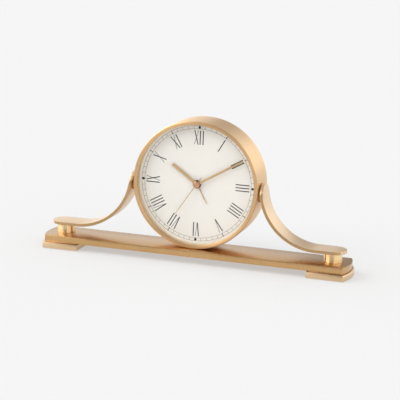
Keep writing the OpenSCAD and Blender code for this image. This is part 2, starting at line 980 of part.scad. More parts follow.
module centre_wheel() {
    color("#C9A24A")
        difference() {
            wheel(centre_teeth, train_module, 0.5, centre_phase, centre_level);
            rod(minute_pipe_r + 0.05, centre_level - 1, centre_level + 2);
        }
}

module minute_arbor() {
    color("#C9A24A") {
        pipe(minute_pipe_r, arbor_r + running_fit, minute_hub_front + 0.2, centre_level + wheel_t + 0.6);
        pinion(cannon_leaves, cannon_module, minute_pipe_r, cannon_phase, motion_level);
    }
}

module motion_gear() {
    color("#E8E4DA") {
        pipe(1.2, post_arbor_r + running_fit, hour_level - pinion_lead, motion_level + wheel_t, motion_at);
        wheel(motion_teeth, cannon_module, 1.2, motion_phase, motion_level, motion_at);
        pinion(motion_leaves, hour_module, 1.2, motion_pinion_phase, hour_level, motion_at);
    }
}

module hour_gear() {
    color("#E8E4DA") {
        pipe(hour_pipe_r, minute_pipe_r + running_fit, hour_hub_front + 0.2, hour_level + wheel_t);
        wheel(hour_teeth, hour_module, hour_pipe_r, hour_phase, hour_level);
    }
}

module setting_gear() {
    color("#E8E4DA") {
        rod(arbor_r, room_front - 0.7, motion_level - pinion_lead, setting_at);
        rod(knob_arbor_r, motion_level - pinion_lead, move_back_face + 3, setting_at);
        pinion(setting_leaves, cannon_module, knob_arbor_r, setting_phase, motion_level, setting_at);
    }
}

// A ribbed knob, pressed on the end of an arbor
module knob(at) {
    difference() {
        slab(move_back_face + 0.3, move_back_face + 0.3 + knob_h, at)
            difference() {
                circle(r = knob_r, $fn = 48);
                for (a = [0 : 20 : 340])
                    rotate(a)
                        translate([knob_r + 0.25, 0])
                            circle(r = 0.6, $fn = 16);
            }
        rod(knob_arbor_r + 0.02, move_back_face - 1, move_back_face + 3.1, at);
        slab(move_back_face + knob_h - 0.3, move_back_face + knob_h + 2, at)
            square([1.2, 2 * knob_r + 2], center = true);
    }
}

module time_knob() {
    color("#1F1F22")
        knob(setting_at);
}

module alarm_gear() {
    color("#E8E4DA") {
        pipe(alarm_pipe_r, hour_pipe_r + running_fit, alarm_hub_front + 0.2, alarm_level + wheel_t);
        wheel(alarm_teeth, alarm_module, alarm_pipe_r, alarm_phase, alarm_level);
    }
}

module alarm_setting_gear() {
    color("#E8E4DA") {
        rod(arbor_r, room_front - 0.7, alarm_level, alarm_at);
        rod(knob_arbor_r, alarm_level, move_back_face + 3, alarm_at);
        wheel(alarm_teeth, alarm_module, knob_arbor_r, alarm_setting_phase, alarm_level, alarm_at);
    }
}

module alarm_knob() {
    color("#1F1F22")
        knob(alarm_at);
}

// The alarm switch is drawn at the left end of its travel
module alarm_switch() {
    color("#1F1F22")
        translate([-switch_travel / 2, 0, 0]) {
            slab(room_back - 1.2, room_back - 0.1)
                translate([-4, 20.5])
                    square([8, 5]);
            slab(room_back - 0.2, move_back_face + 2.5)
                translate([-2, 21.6])
                    square([4, 2.8]);
        }
}

// Outline of a hand that points up, from its hub to its tip
module hand_outline(len, w_root, w_tip) {
    polygon([[-w_root / 2, 0], [w_root / 2, 0], [w_tip / 2, len], [-w_tip / 2, len]]);
}

// A hand on a round hub with a hole for its pipe
module hand(angle, front, back, pipe_r) {
    difference() {
        union() {
            rod(hub_r, front, back);
            slab((front + back) / 2, (front + back) / 2 + hand_t)
                rotate(-angle)
                    children();
        }
        rod(pipe_r + 0.02, front + 0.15, back + 1);
        rod(pipe_r - 0.6, front - 1, back);
    }
}

module hour_hand() {
    color("#B98A55")
        hand(hour_angle, hour_hub_front, hour_hub_back, hour_pipe_r)
            hand_outline(hour_len, hour_w, hour_w);
}

module minute_hand() {
    color("#B98A55")
        hand(minute_angle, minute_hub_front, minute_hub_back, minute_pipe_r)
            hand_outline(lip_r - minute_short, minute_w, minute_w);
}

module alarm_hand() {
    color("#B98A55")
        hand(alarm_angle, alarm_hub_front, alarm_hub_back, alarm_pipe_r)
            hand_outline(alarm_len, alarm_w, alarm_w / 2);
}

module second_hand() {
    color("#B98A55")
        difference() {
            union() {
                rod(hub_r - 0.3, second_hub_front, second_hub_back);
                slab(second_hub_back - hand_t, second_hub_back)
                    rotate(-second_angle) {
                        hand_outline(second_len, second_w, second_w / 2);
                        rotate(180)
                            hand_outline(second_tail, second_w, 1.6 * second_w);
                    }
            }
            rod(arbor_r + 0.02, second_hub_front + 0.28, second_hub_back + 1);
        }
}

base_plate();
left_foot();
right_foot();
foot_pads();
foot_screws();
left_pillar();
right_pillar();
pillar_screws();
left_arm();
right_arm();
left_spacer();
right_spacer();
arm_nuts();
case_screw();
case_nut();
case_drum();
glass_seal();
glass();
dial_ring();
dial();
mounting_frame();
rear_cover();
rear_cover_screws();
movement_front();
movement_back();
battery();
battery_cover();
positive_contact();
negative_contact();
circuit_board();
quartz_crystal();
coil();
stator();
buzzer();
rotor();
intermediate_gear();
third_gear();
second_gear();
centre_wheel();
minute_arbor();
motion_gear();
hour_gear();
setting_gear();
time_knob();
alarm_gear();
alarm_setting_gear();
alarm_knob();
alarm_switch();
hour_hand();
minute_hand();
second_hand();
alarm_hand();
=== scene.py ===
"""Looks of a tambour mantel clock: brass drum, swept arms, pillars and a long base.

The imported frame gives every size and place. Each sub-assembly is a class that reads its
places from the frame, models the pieces that show and dresses them, and the closed
pieces of the movement keep their own shapes and get their materials here. Sizes are in
millimetres unless a comment says otherwise, and angles in degrees.
"""

import json
import logging
import math
from dataclasses import dataclass, field
from enum import Enum
from typing import Any, Callable, Sequence

import bmesh
import bpy
from mathutils import Matrix, Vector

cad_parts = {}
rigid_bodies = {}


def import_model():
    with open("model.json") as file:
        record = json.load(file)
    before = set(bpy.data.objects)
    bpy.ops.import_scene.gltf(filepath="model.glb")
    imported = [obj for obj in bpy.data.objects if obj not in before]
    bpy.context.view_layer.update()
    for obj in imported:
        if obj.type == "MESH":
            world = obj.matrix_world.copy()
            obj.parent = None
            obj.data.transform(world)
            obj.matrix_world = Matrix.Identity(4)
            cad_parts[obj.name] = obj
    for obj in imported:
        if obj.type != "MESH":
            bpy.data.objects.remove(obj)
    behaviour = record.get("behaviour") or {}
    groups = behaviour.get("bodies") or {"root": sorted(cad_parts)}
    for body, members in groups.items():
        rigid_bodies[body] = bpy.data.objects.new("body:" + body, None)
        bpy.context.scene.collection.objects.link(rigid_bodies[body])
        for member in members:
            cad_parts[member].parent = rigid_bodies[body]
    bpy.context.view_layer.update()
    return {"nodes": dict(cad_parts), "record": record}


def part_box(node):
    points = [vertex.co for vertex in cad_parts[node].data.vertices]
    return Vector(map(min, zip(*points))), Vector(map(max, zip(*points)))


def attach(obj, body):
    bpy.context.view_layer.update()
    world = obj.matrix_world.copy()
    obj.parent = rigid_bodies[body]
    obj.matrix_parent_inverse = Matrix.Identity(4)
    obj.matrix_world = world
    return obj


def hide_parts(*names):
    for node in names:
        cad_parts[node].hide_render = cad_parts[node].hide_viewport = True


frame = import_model()

LOG = logging.getLogger("clock")
MM = 0.001
NEAR = 0.01  # How near to a place a point counts as lying on it.
STEEP = 0.7  # Share of a normal along an axis from which a face counts as facing it.
HOUR_TURN = 30.0
Point = tuple[float, float, float]


class Grain(Enum):
    """Direction in which a metal surface was brushed."""

    LENGTHWAYS = "along the clock"
    STRAP = "along a bent strap"
    TURNED = "round the axis of the drum"
    UPRIGHT_TURNED = "round an upright axis"


class Facing(Enum):
    """Way that a new primitive faces, as the turn that brings it there."""

    FRONT = (math.pi / 2, 0.0, 0.0)
    UP = (0.0, 0.0, 0.0)
    SIDE = (math.pi / 2, 0.0, math.pi / 2)


class Part(Enum):
    """Parts of a mesh that can be selected, by Blender's names."""

    POINTS = "VERT"
    EDGES = "EDGE"
    FACES = "FACE"


# ---- Colour and nodes


def linear(colour: str) -> tuple[float, float, float, float]:
    """Turns an sRGB hex colour into the linear one that shaders read.

    Args:
        colour: Six hex digits after a hash.

    Returns:
        Linear red, green and blue, and an alpha of 1.
    """
    parts = [int(colour[i : i + 2], 16) / 255 for i in (1, 3, 5)]
    r, g, b = [p / 12.92 if p <= 0.04045 else ((p + 0.055) / 1.055) ** 2.4 for p in parts]
    return r, g, b, 1.0


def add_node(
    tree: bpy.types.NodeTree, kind: str, inputs: dict[Any, Any] | None = None, **settings: Any
) -> bpy.types.Node:
    """Adds a shader node with its settings and inputs.

    Args:
        tree: The node tree that gets the node.
        kind: Blender's name for the node, after its common ShaderNode.
        inputs: Values for its sockets, or other sockets to link to them.
        **settings: Properties of the node.

    Returns:
        The new node.
    """
    node = tree.nodes.new("ShaderNode" + kind)
    for name, value in settings.items():
        setattr(node, name, value)
    for name, value in (inputs or {}).items():
        if isinstance(value, bpy.types.NodeSocket):
            tree.links.new(value, node.inputs[name])
        else:
            node.inputs[name].default_value = value
    return node


def patches(tree: bpy.types.NodeTree, size_mm: float, detail: float) -> bpy.types.NodeSocket:
    """Lays soft patches over a piece, from its Object coordinates.

    Args:
        tree: The node tree of the material.
        size_mm: Size of a patch.
        detail: How many finer steps it has.

    Returns:
        A value from 0 to 1.
    """
    place = add_node(tree, "TexCoord").outputs["Object"]
    scale = 1 / (size_mm * MM)
    noise = add_node(tree, "TexNoise", {"Vector": place, "Scale": scale, "Detail": detail})
    return noise.outputs["Fac"]


def patched(
    tree: bpy.types.NodeTree,
    pattern: bpy.types.NodeSocket,
    colours: tuple[str, str],
    rough: tuple[float, float],
    span: tuple[float, float] = (0.3, 0.7),
) -> dict[str, bpy.types.NodeSocket]:
    """Lets a pattern set the colour and the roughness of a surface.

    Args:
        tree: The node tree of the material.
        pattern: The pattern's value.
        colours: The hex colours where it is 0 and 1.
        rough: The roughness at the ends of its span.
        span: The values of the pattern between which the roughness changes.

    Returns:
        The shader's inputs.
    """
    low, high = (linear(colour) for colour in colours)
    tone = add_node(tree, "Mix", {0: pattern, 6: low, 7: high}, data_type="RGBA")
    ends = {"From Min": span[0], "From Max": span[1], "To Min": rough[0], "To Max": rough[1]}
    gloss = add_node(tree, "MapRange", {"Value": pattern, **ends})
    return {"Base Color": tone.outputs[2], "Roughness": gloss.outputs["Result"]}


# ---- Finishes


@dataclass(frozen=True)
class Finish:
    """What every finish has.

    Attributes:
        name: Name of the finish.
    """

    name: str

    def shader(self, tree: bpy.types.NodeTree) -> bpy.types.Node:
        """Builds the nodes of the finish.

        Args:
            tree: The empty node tree of the material.

        Returns:
            The last shader node.
        """
        raise NotImplementedError

    def material(self) -> bpy.types.Material:
        """Builds the material.

        Returns:
            The finished material.
        """
        material = bpy.data.materials.new(self.name)
        material.use_nodes = True
        tree = material.node_tree
        tree.nodes.clear()
        add_node(tree, "OutputMaterial", {"Surface": self.shader(tree).outputs[0]})
        return material


@dataclass(frozen=True)
class BrushedMetal(Finish):
    """Metal drawn over a fine abrasive belt: a satin sheen that is stretched across the lines.

    Attributes:
        colour: Colour of the metal where the lines are open.
        deep: Colour between the lines.
        roughness: Middle roughness of the metal.
        grain: How the belt ran.
        stretch: How much wider the sheen is across the lines than along them.
        film: How much the clear film over the metal adds its own pale sheen.
        line_mm: Width of a group of lines. Real ones are 0.05 mm wide, too fine
            to show in the render, so they are drawn in groups.
        run: How many times longer than wide a line is.
        arc: Changes along a turned line in a radian.
        cloud_mm: Size of the patches where the belt cut a little duller.
        spread: How far the roughness strays from its middle.
        film_roughness: Roughness of the clear film.
        relief_mm: Depth of the lines.
        relief: Strength of their relief.
        centre: A point on the axis of a turned grain, in metres.
    """

    colour: str
    deep: str
    roughness: float
    grain: Grain
    stretch: float = 0.6
    film: float = 0.35
    line_mm: float = 0.7
    run: float = 60.0
    arc: float = 1.5
    cloud_mm: float = 45.0
    spread: float = 0.03
    film_roughness: float = 0.3
    relief_mm: float = 0.03
    relief: float = 0.12
    centre: Point = (0.0, 0.0, 0.0)

    def centred(self, tree: bpy.types.NodeTree) -> bpy.types.NodeSocket:
        """Gives Object coordinates from the centre of the grain.

        Args:
            tree: The node tree of the material.

        Returns:
            The coordinates, in metres.
        """
        place = add_node(tree, "TexCoord").outputs["Object"]
        shift = tuple(-c for c in self.centre)
        return add_node(tree, "Mapping", {"Vector": place, "Location": shift}).outputs["Vector"]

    def unrolled(self, tree: bpy.types.NodeTree) -> bpy.types.NodeSocket:
        """Unrolls the space round the axis of the drum.

        Args:
            tree: The node tree of the material.

        Returns:
            The radius and the depth, in metres, and the angle, in radians.
        """
        place = self.centred(tree)
        flat = add_node(tree, "VectorMath", {0: place, 1: (1.0, 0.0, 1.0)}, operation="MULTIPLY")
        radius = add_node(tree, "VectorMath", {0: flat.outputs["Vector"]}, operation="LENGTH")
        split = add_node(tree, "SeparateXYZ", {0: place})
        sides = {0: split.outputs["X"], 1: split.outputs["Z"]}
        angle = add_node(tree, "Math", sides, operation="ARCTAN2")
        # Folded at the bottom, where the angle would jump and leave a seam.
        folded = add_node(tree, "Math", {0: angle.outputs[0]}, operation="ABSOLUTE")
        steps = {"X": radius.outputs["Value"], "Y": split.outputs["Y"], "Z": folded.outputs[0]}
        return add_node(tree, "CombineXYZ", steps).outputs["Vector"]

    def lines(self, tree: bpy.types.NodeTree) -> bpy.types.NodeSocket:
        """Gives coordinates that run quickly across the grain and slowly along it.

        Args:
            tree: The node tree of the material.

        Returns:
            The coordinates, one unit for each group of lines.
        """
        fine = 1 / (self.line_mm * MM)
        if self.grain is Grain.TURNED:
            place, scale = self.unrolled(tree), (fine, fine, self.arc)
        else:
            place, scale = self.centred(tree), (fine / self.run, fine, fine / self.run)
        return add_node(tree, "VectorMath", {0: place, 1: scale}, operation="MULTIPLY").outputs[0]

    def direction(self, tree: bpy.types.NodeTree) -> bpy.types.NodeSocket:
        """Gives the direction of the lines at each point.

        Args:
            tree: The node tree of the material.

        Returns:
            The direction, for the shader's Tangent.
        """
        if self.grain is Grain.LENGTHWAYS:
            return add_node(tree, "CombineXYZ", {"X": 1.0}).outputs[0]
        # Lines run square to this axis and to the normal, or on a turned piece to the
        # way out from its axis, which holds on its flat lip too. The strap's is a
        # little off its depth, so that its edges, which face along it, get lines too.
        axis = {
            Grain.STRAP: (0.03, 1.0, 0.0),
            Grain.TURNED: (0.0, 1.0, 0.0),
            Grain.UPRIGHT_TURNED: (0.0, 0.0, 1.0),
        }[self.grain]
        if self.grain is Grain.TURNED:
            outwards = self.centred(tree)
        else:
            outwards = add_node(tree, "NewGeometry").outputs["Normal"]
        across = add_node(tree, "VectorMath", {0: outwards, 1: axis}, operation="CROSS_PRODUCT")
        unit = add_node(tree, "VectorMath", {0: across.outputs[0]}, operation="NORMALIZE")
        return unit.outputs[0]

    def shader(self, tree: bpy.types.NodeTree) -> bpy.types.Node:
        """Builds streaks in tone, gloss and relief, and a sheen stretched across them.

        Args:
            tree: The empty node tree of the material.

        Returns:
            The last shader node.
        """
        fine = {"Vector": self.lines(tree), "Scale": 1.0, "Detail": 3.0, "Roughness": 0.6}
        streaks = add_node(tree, "TexNoise", fine).outputs["Fac"]
        share = add_node(tree, "MapRange", {"Value": streaks, "From Min": 0.3, "From Max": 0.7})
        ends = {6: linear(self.deep), 7: linear(self.colour)}
        tone = add_node(tree, "Mix", {0: share.outputs["Result"], **ends}, data_type="RGBA")
        both = {0: streaks, 1: patches(tree, self.cloud_mm, 2.0)}
        blend = add_node(tree, "Math", both, operation="ADD").outputs[0]
        low, high = self.roughness - self.spread, self.roughness + self.spread
        span = {"From Min": 0.6, "From Max": 1.4, "To Min": low, "To Max": high}
        rough = add_node(tree, "MapRange", {"Value": blend, **span})
        depth = {"Strength": self.relief, "Distance": self.relief_mm * MM}
        relief = add_node(tree, "Bump", {"Height": streaks, **depth})
        surface = {
            "Base Color": tone.outputs[2],
            "Metallic": 1.0,
            "Roughness": rough.outputs["Result"],
            "Anisotropic": self.stretch,
            # A quarter turn lays the wide side of the sheen across the lines.
            "Anisotropic Rotation": 0.25,
            "Tangent": self.direction(tree),
            "Coat Weight": self.film,
            "Coat Roughness": self.film_roughness,
            "Normal": relief.outputs["Normal"],
        }
        return add_node(tree, "BsdfPrincipled", surface)


@dataclass(frozen=True)
class PolishedMetal(Finish):
    """Turned and buffed metal: mirror clear, with the faintest bloom left by the polishing wheel.

    Attributes:
        colour: Colour of the metal.
        bloom: Colour where the polish is a little dull.
        roughness: Least roughness.
        dulling: How much rougher the bloom is.
        bloom_mm: Size of a patch of bloom.
    """

    colour: str
    bloom: str
    roughness: float
    dulling: float = 0.04
    bloom_mm: float = 6.0

    def shader(self, tree: bpy.types.NodeTree) -> bpy.types.Node:
        """Builds a mirror with a faint bloom.

        Args:
            tree: The empty node tree of the material.

        Returns:
            The last shader node.
        """
        rough = (self.roughness, self.roughness + self.dulling)
        haze = patches(tree, self.bloom_mm, 3.0)
        surface = patched(tree, haze, (self.colour, self.bloom), rough)
        return add_node(tree, "BsdfPrincipled", {"Metallic": 1.0, **surface})


@dataclass(frozen=True)
class PlainMetal(Finish):
    """Metal of a small hidden part: stamped, turned or plated, and left as it came.

    Attributes:
        colour: Colour of the metal.
        second: Colour of its stains.
        roughness: Middle roughness.
        spread: How far the roughness strays from its middle.
        stain_mm: Size of a stain.
    """

    colour: str
    second: str
    roughness: float
    spread: float = 0.08
    stain_mm: float = 2.0

    def shader(self, tree: bpy.types.NodeTree) -> bpy.types.Node:
        """Builds a stained metal.

        Args:
            tree: The empty node tree of the material.

        Returns:
            The last shader node.
        """
        rough = (self.roughness - self.spread, self.roughness + self.spread)
        stains = patches(tree, self.stain_mm, 3.0)
        surface = patched(tree, stains, (self.colour, self.second), rough, (0.0, 1.0))
        return add_node(tree, "BsdfPrincipled", {"Metallic": 1.0, **surface})


@dataclass(frozen=True)
class Coating(Finish):
    """A skin that isn't metal: enamel, ink, moulded plastic, rubber or lacquer.

    Attributes:
        colour: Main colour.
        second: Colour of its faint mottling.
        roughness: Middle roughness.
        grain_mm: Size of the mottling and of the relief.
        relief_mm: Height of the moulded or sprayed texture.
        relief: Strength of that texture.
        spread: How far the roughness strays from its middle.
        ior: Refractive index of the skin.
    """

    colour: str
    second: str
    roughness: float
    grain_mm: float
    relief_mm: float
    relief: float = 0.4
    spread: float = 0.05
    ior: float = 1.5

    def shader(self, tree: bpy.types.NodeTree) -> bpy.types.Node:
        """Builds a mottled skin with a fine texture.

        Args:
            tree: The empty node tree of the material.

        Returns:
            The last shader node.
        """
        rough = (self.roughness - self.spread, self.roughness + self.spread)
        mottle = patches(tree, self.grain_mm, 4.0)
        surface = patched(tree, mottle, (self.colour, self.second), rough)
        depth = {"Strength": self.relief, "Distance": self.relief_mm * MM}
        relief = add_node(tree, "Bump", {"Height": mottle, **depth})
        skin = {"IOR": self.ior, "Normal": relief.outputs["Normal"]}
        return add_node(tree, "BsdfPrincipled", {**surface, **skin})


@dataclass(frozen=True)
class WindowGlass(Finish):
    """Float glass: clear, with the weak mirror image that its front face gives.

    Attributes:
        tint: Colour of what passes through it.
        ior: Refractive index of the glass.
        roughness: Roughness of its mirror image.
    """

    tint: str
    ior: float = 1.5
    roughness: float = 0.02

    def shader(self, tree: bpy.types.NodeTree) -> bpy.types.Node:
        """Builds a pane that lets the light through to the dial.

        Only the outside mirrors: seen from inside, the pane would hold the light back.

        Args:
            tree: The empty node tree of the material.

        Returns:
            The last shader node.
        """
        clear = add_node(tree, "BsdfTransparent", {"Color": linear(self.tint)})
        mirror = add_node(tree, "BsdfGlossy", {"Roughness": self.roughness})
        edge = add_node(tree, "Fresnel", {"IOR": self.ior})
        side = add_node(tree, "NewGeometry").outputs["Backfacing"]
        front = add_node(tree, "Math", {0: 1.0, 1: side}, operation="SUBTRACT")
        weights = {0: edge.outputs[0], 1: front.outputs[0]}
        share = add_node(tree, "Math", weights, operation="MULTIPLY")
        mixed = {0: share.outputs[0], 1: clear.outputs[0], 2: mirror.outputs[0]}
        return add_node(tree, "MixShader", mixed)


@dataclass(frozen=True)
class StudioFloor(Finish):
    """Matt studio paper: it takes the clock's shadow and fades to the backdrop's pale tone.

    Attributes:
        colour: Colour of the floor under the studio's light.
        backdrop: The pale tone that it fades to.
        share: How much of that tone the camera and the mirrors see; the rest is the
            lit floor, which carries the shadow.
    """

    colour: str
    backdrop: str
    share: float

    def shader(self, tree: bpy.types.NodeTree) -> bpy.types.Node:
        """Builds the lit floor with the backdrop's tone over it.

        Args:
            tree: The empty node tree of the material.

        Returns:
            The last shader node.
        """
        lit = add_node(tree, "BsdfDiffuse", {"Color": linear(self.colour)})
        plain = add_node(tree, "Emission", {"Color": linear(self.backdrop)})
        ray = add_node(tree, "LightPath")
        seen: Any = 0.0
        for kind in ("Is Camera Ray", "Is Glossy Ray", "Is Transmission Ray"):
            either = {0: seen, 1: ray.outputs[kind]}
            seen = add_node(tree, "Math", either, operation="MAXIMUM").outputs[0]
        share = add_node(tree, "Math", {0: seen, 1: self.share}, operation="MULTIPLY")
        mixed = {0: share.outputs[0], 1: lit.outputs[0], 2: plain.outputs[0]}
        return add_node(tree, "MixShader", mixed)


# ---- Work at the bench


class Workpiece:
    """One mesh that is shaped by hand, with sizes in millimetres."""

    def __init__(self, name: str) -> None:
        """Takes the primitive that was added last.

        Args:
            name: Name of the finished piece.
        """
        self.piece = bpy.context.object
        self.piece.name = name
        self.piece.data.name = name
        bpy.ops.object.transform_apply(location=True, rotation=True, scale=True)

    @staticmethod
    def clear_bench() -> None:
        """Leaves edit mode and deselects everything."""
        if bpy.context.object and bpy.context.object.mode != "OBJECT":
            bpy.ops.object.mode_set(mode="OBJECT")
        bpy.ops.object.select_all(action="DESELECT")

    @classmethod
    def disc(
        cls, name: str, radius: float, at: Point, facing: Facing, sides: int, filled: bool = True
    ) -> "Workpiece":
        """Starts from a circle.

        Args:
            name: Name of the piece.
            radius: Its radius.
            at: Its centre.
            facing: Way that it faces.
            sides: Number of its sides.
            filled: Whether it has a face.

        Returns:
            The new workpiece.
        """
        cls.clear_bench()
        bpy.ops.mesh.primitive_circle_add(
            vertices=sides,
            radius=radius * MM,
            fill_type="NGON" if filled else "NOTHING",
            location=[c * MM for c in at],
            rotation=facing.value,
        )
        return cls(name)

    @classmethod
    def panel(cls, name: str, size: tuple[float, float], at: Point, facing: Facing) -> "Workpiece":
        """Starts from a flat rectangle.

        Args:
            name: Name of the piece.
            size: Its width and height.
            at: Its centre.
            facing: Way that it faces.

        Returns:
            The new workpiece.
        """
        cls.clear_bench()
        place = [c * MM for c in at]
        bpy.ops.mesh.primitive_plane_add(size=1.0, location=place, rotation=facing.value)
        bpy.context.object.scale = (size[0] * MM, size[1] * MM, 1.0)
        return cls(name)

    def pick(self) -> None:
        """Selects this piece alone."""
        self.clear_bench()
        self.piece.select_set(True)
        bpy.context.view_layer.objects.active = self.piece

    def edit(self) -> "Workpiece":
        """Opens the mesh for editing.

        Returns:
            The workpiece.
        """
        bpy.context.view_layer.objects.active = self.piece
        bpy.ops.object.mode_set(mode="EDIT")
        return self

    def close(self) -> "Workpiece":
        """Ends editing."""
        bpy.ops.object.mode_set(mode="OBJECT")
        return self

    def select(self, test: Callable[[Vector], bool], kind: Part = Part.POINTS) -> "Workpiece":
        """Selects what lies wholly where a test holds.

        Args:
            test: Says whether a point, in millimetres, counts.
            kind: What is selected.

        Returns:
            The workpiece.
        """
        bpy.ops.mesh.select_mode(type=kind.value)
        bpy.ops.mesh.select_all(action="DESELECT")
        mesh = bmesh.from_edit_mesh(self.piece.data)
        inside = {v for v in mesh.verts if test(v.co / MM)}
        parts = {Part.POINTS: mesh.verts, Part.EDGES: mesh.edges, Part.FACES: mesh.faces}[kind]
        for part in parts:
            corners = {part} if kind is Part.POINTS else set(part.verts)
            if corners <= inside:
                part.select = True
        mesh.select_flush_mode()
        bmesh.update_edit_mesh(self.piece.data)
        return self

    def select_all(self) -> "Workpiece":
        """Selects the whole mesh.

        Returns:
            The workpiece.
        """
        bpy.ops.mesh.select_mode(type="VERT")
        bpy.ops.mesh.select_all(action="SELECT")
        return self

    def cut(self, at: Point, normal: Point) -> "Workpiece":
        """Cuts the mesh by a plane and drops what lies beyond it.

        Args:
            at: A point on the plane.
            normal: The direction of the side that is dropped.

        Returns:
            The workpiece.
        """
        self.select_all()
        bpy.ops.mesh.bisect(
            plane_co=[c * MM for c in at], plane_no=normal, clear_outer=True, use_fill=False
        )
        return self

    def extrude(self, move: Point) -> "Workpiece":
        """Extrudes the selection.

        Args:
            move: How far it goes.

        Returns:
            The workpiece.
        """
        bpy.ops.mesh.extrude_region_move(TRANSFORM_OT_translate={"value": [c * MM for c in move]})
        return self

    def scale(self, factors: Point, about: Point) -> "Workpiece":
        """Scales the selection about a point.

        Args:
            factors: Scale along each axis.
            about: The point that stays.

        Returns:
            The workpiece.
        """
        bpy.ops.transform.resize(value=factors, center_override=[c * MM for c in about])
        return self

    def merge(self, within: float = 0.001) -> "Workpiece":
        """Merges points that lie together and turns all faces outwards.

        Args:
            within: How near they lie.

        Returns:
            The workpiece.
        """
        self.select_all()
        bpy.ops.mesh.remove_doubles(threshold=within * MM)
        bpy.ops.mesh.normals_make_consistent(inside=False)
        return self

    @classmethod
    def turned(
        cls, name: str, profile: Sequence[tuple[float, float]], axis_z: float, sides: int
    ) -> "Workpiece":
        """Turns a closed ring about the axis of the drum, as a lathe does.

        Args:
            name: Name of the piece.
            profile: Radius and depth of each step of its section.
            axis_z: Height of the axis.
            sides: Number of its sides.

        Returns:
            The turned workpiece.
        """
        radius, depth = profile[0]
        work = cls.disc(name, radius, (0.0, depth, axis_z), Facing.FRONT, sides, filled=False)
        work.edit().select_all()
        for next_radius, next_depth in (*profile[1:], profile[0]):
            work.extrude((0.0, next_depth - depth, 0.0))
            factor = next_radius / radius
            work.scale((factor, 1.0, factor), (0.0, 0.0, axis_z))
            radius, depth = next_radius, next_depth
        work.merge()
        return work.close()

    def finish(self, modifier: str, **settings: Any) -> "Workpiece":
        """Adds a modifier and applies it.

        Args:
            modifier: Blender's name for its type.
            **settings: Its settings.

        Returns:
            The workpiece.
        """
        self.pick()
        added = self.piece.modifiers.new(modifier.title(), modifier)
        for name, value in settings.items():
            setattr(added, name, value)
        bpy.ops.object.modifier_apply(modifier=added.name)
        return self

    def soften(self, width: float, segments: int = 2, sharp: float = 35.0) -> "Workpiece":
        """Breaks the sharp edges, as tumbling and polishing do.

        Args:
            width: Width of the broken edge.
            segments: Number of steps across it.
            sharp: The angle in degrees from which an edge counts as sharp.

        Returns:
            The workpiece.
        """
        return self.finish(
            "BEVEL",
            width=width * MM,
            segments=segments,
            limit_method="ANGLE",
            angle_limit=math.radians(sharp),
            use_clamp_overlap=True,
        )

    def smooth(self, angle: float = 30.0) -> "Workpiece":
        """Shades the mesh smooth, apart from edges sharper than an angle.

        Args:
            angle: The angle in degrees.

        Returns:
            The workpiece.
        """
        self.pick()
        bpy.ops.object.shade_smooth_by_angle(angle=math.radians(angle))
        return self

    def mirrored(self, name: str) -> "Workpiece":
        """Copies the piece to the other side of the clock.

        Args:
            name: Name of the copy.

        Returns:
            The copy, with a mesh of its own.
        """
        self.pick()
        bpy.ops.object.duplicate()
        bpy.context.object.scale = (-1.0, 1.0, 1.0)
        other = Workpiece(name)
        other.edit().select_all()
        bpy.ops.mesh.normals_make_consistent(inside=False)
        return other.close()


def join(name: str, parts: Sequence[Workpiece]) -> Workpiece:
    """Joins workpieces into one piece.

    Args:
        name: Name of the piece.
        parts: The workpieces, two or more.

    Returns:
        The joined workpiece.
    """
    Workpiece.clear_bench()
    for part in parts:
        part.piece.select_set(True)
    bpy.context.view_layer.objects.active = parts[0].piece
    bpy.ops.object.join()
    return Workpiece(name)


def hand_over(
    work: Workpiece, material: bpy.types.Material, body: str, slot: str, *nodes: str
) -> None:
    """Dresses a finished piece and lets it stand for its CAD nodes.

    Args:
        work: The finished workpiece.
        material: Its material.
        body: The CAD body that it rides on.
        slot: The record's material slot. Not used.
        *nodes: The nodes that it stands for.
    """
    work.piece.data.materials.clear()
    work.piece.data.materials.append(material)
    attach(work.piece, body)
    if nodes:
        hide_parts(*nodes)
    LOG.info("%s rides on %s with %d faces", work.piece.name, body, len(work.piece.data.polygons))


def paint_faces(
    work: Workpiece,
    material: bpy.types.Material,
    test: Callable[[bpy.types.MeshPolygon], bool],
) -> None:
    """Gives some faces of a dressed piece a second material.

    Args:
        work: The dressed workpiece.
        material: The second material.
        test: Says whether a face gets it.
    """
    work.piece.data.materials.append(material)
    for face in work.piece.data.polygons:
        face.material_index = int(test(face))


def turn_about(at: Vector, angle: float) -> Matrix:
    """Gives a turn about the axis of the drum.

    Args:
        at: A point on the axis, in millimetres.
        angle: Degrees clockwise, as seen from the front.

    Returns:
        The turn, in metres.
    """
    there = Matrix.Translation(at * MM)
    return there @ Matrix.Rotation(math.radians(angle), 4, "Y") @ there.inverted()


def box_mm(node: str) -> tuple[Vector, Vector]:
    """Gives the corners of a CAD node in millimetres.

    Args:
        node: Name of the node.

    Returns:
        Its lowest and highest corners.
    """
    low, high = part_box(node)
    return low / MM, high / MM


# ---- Sub-assemblies


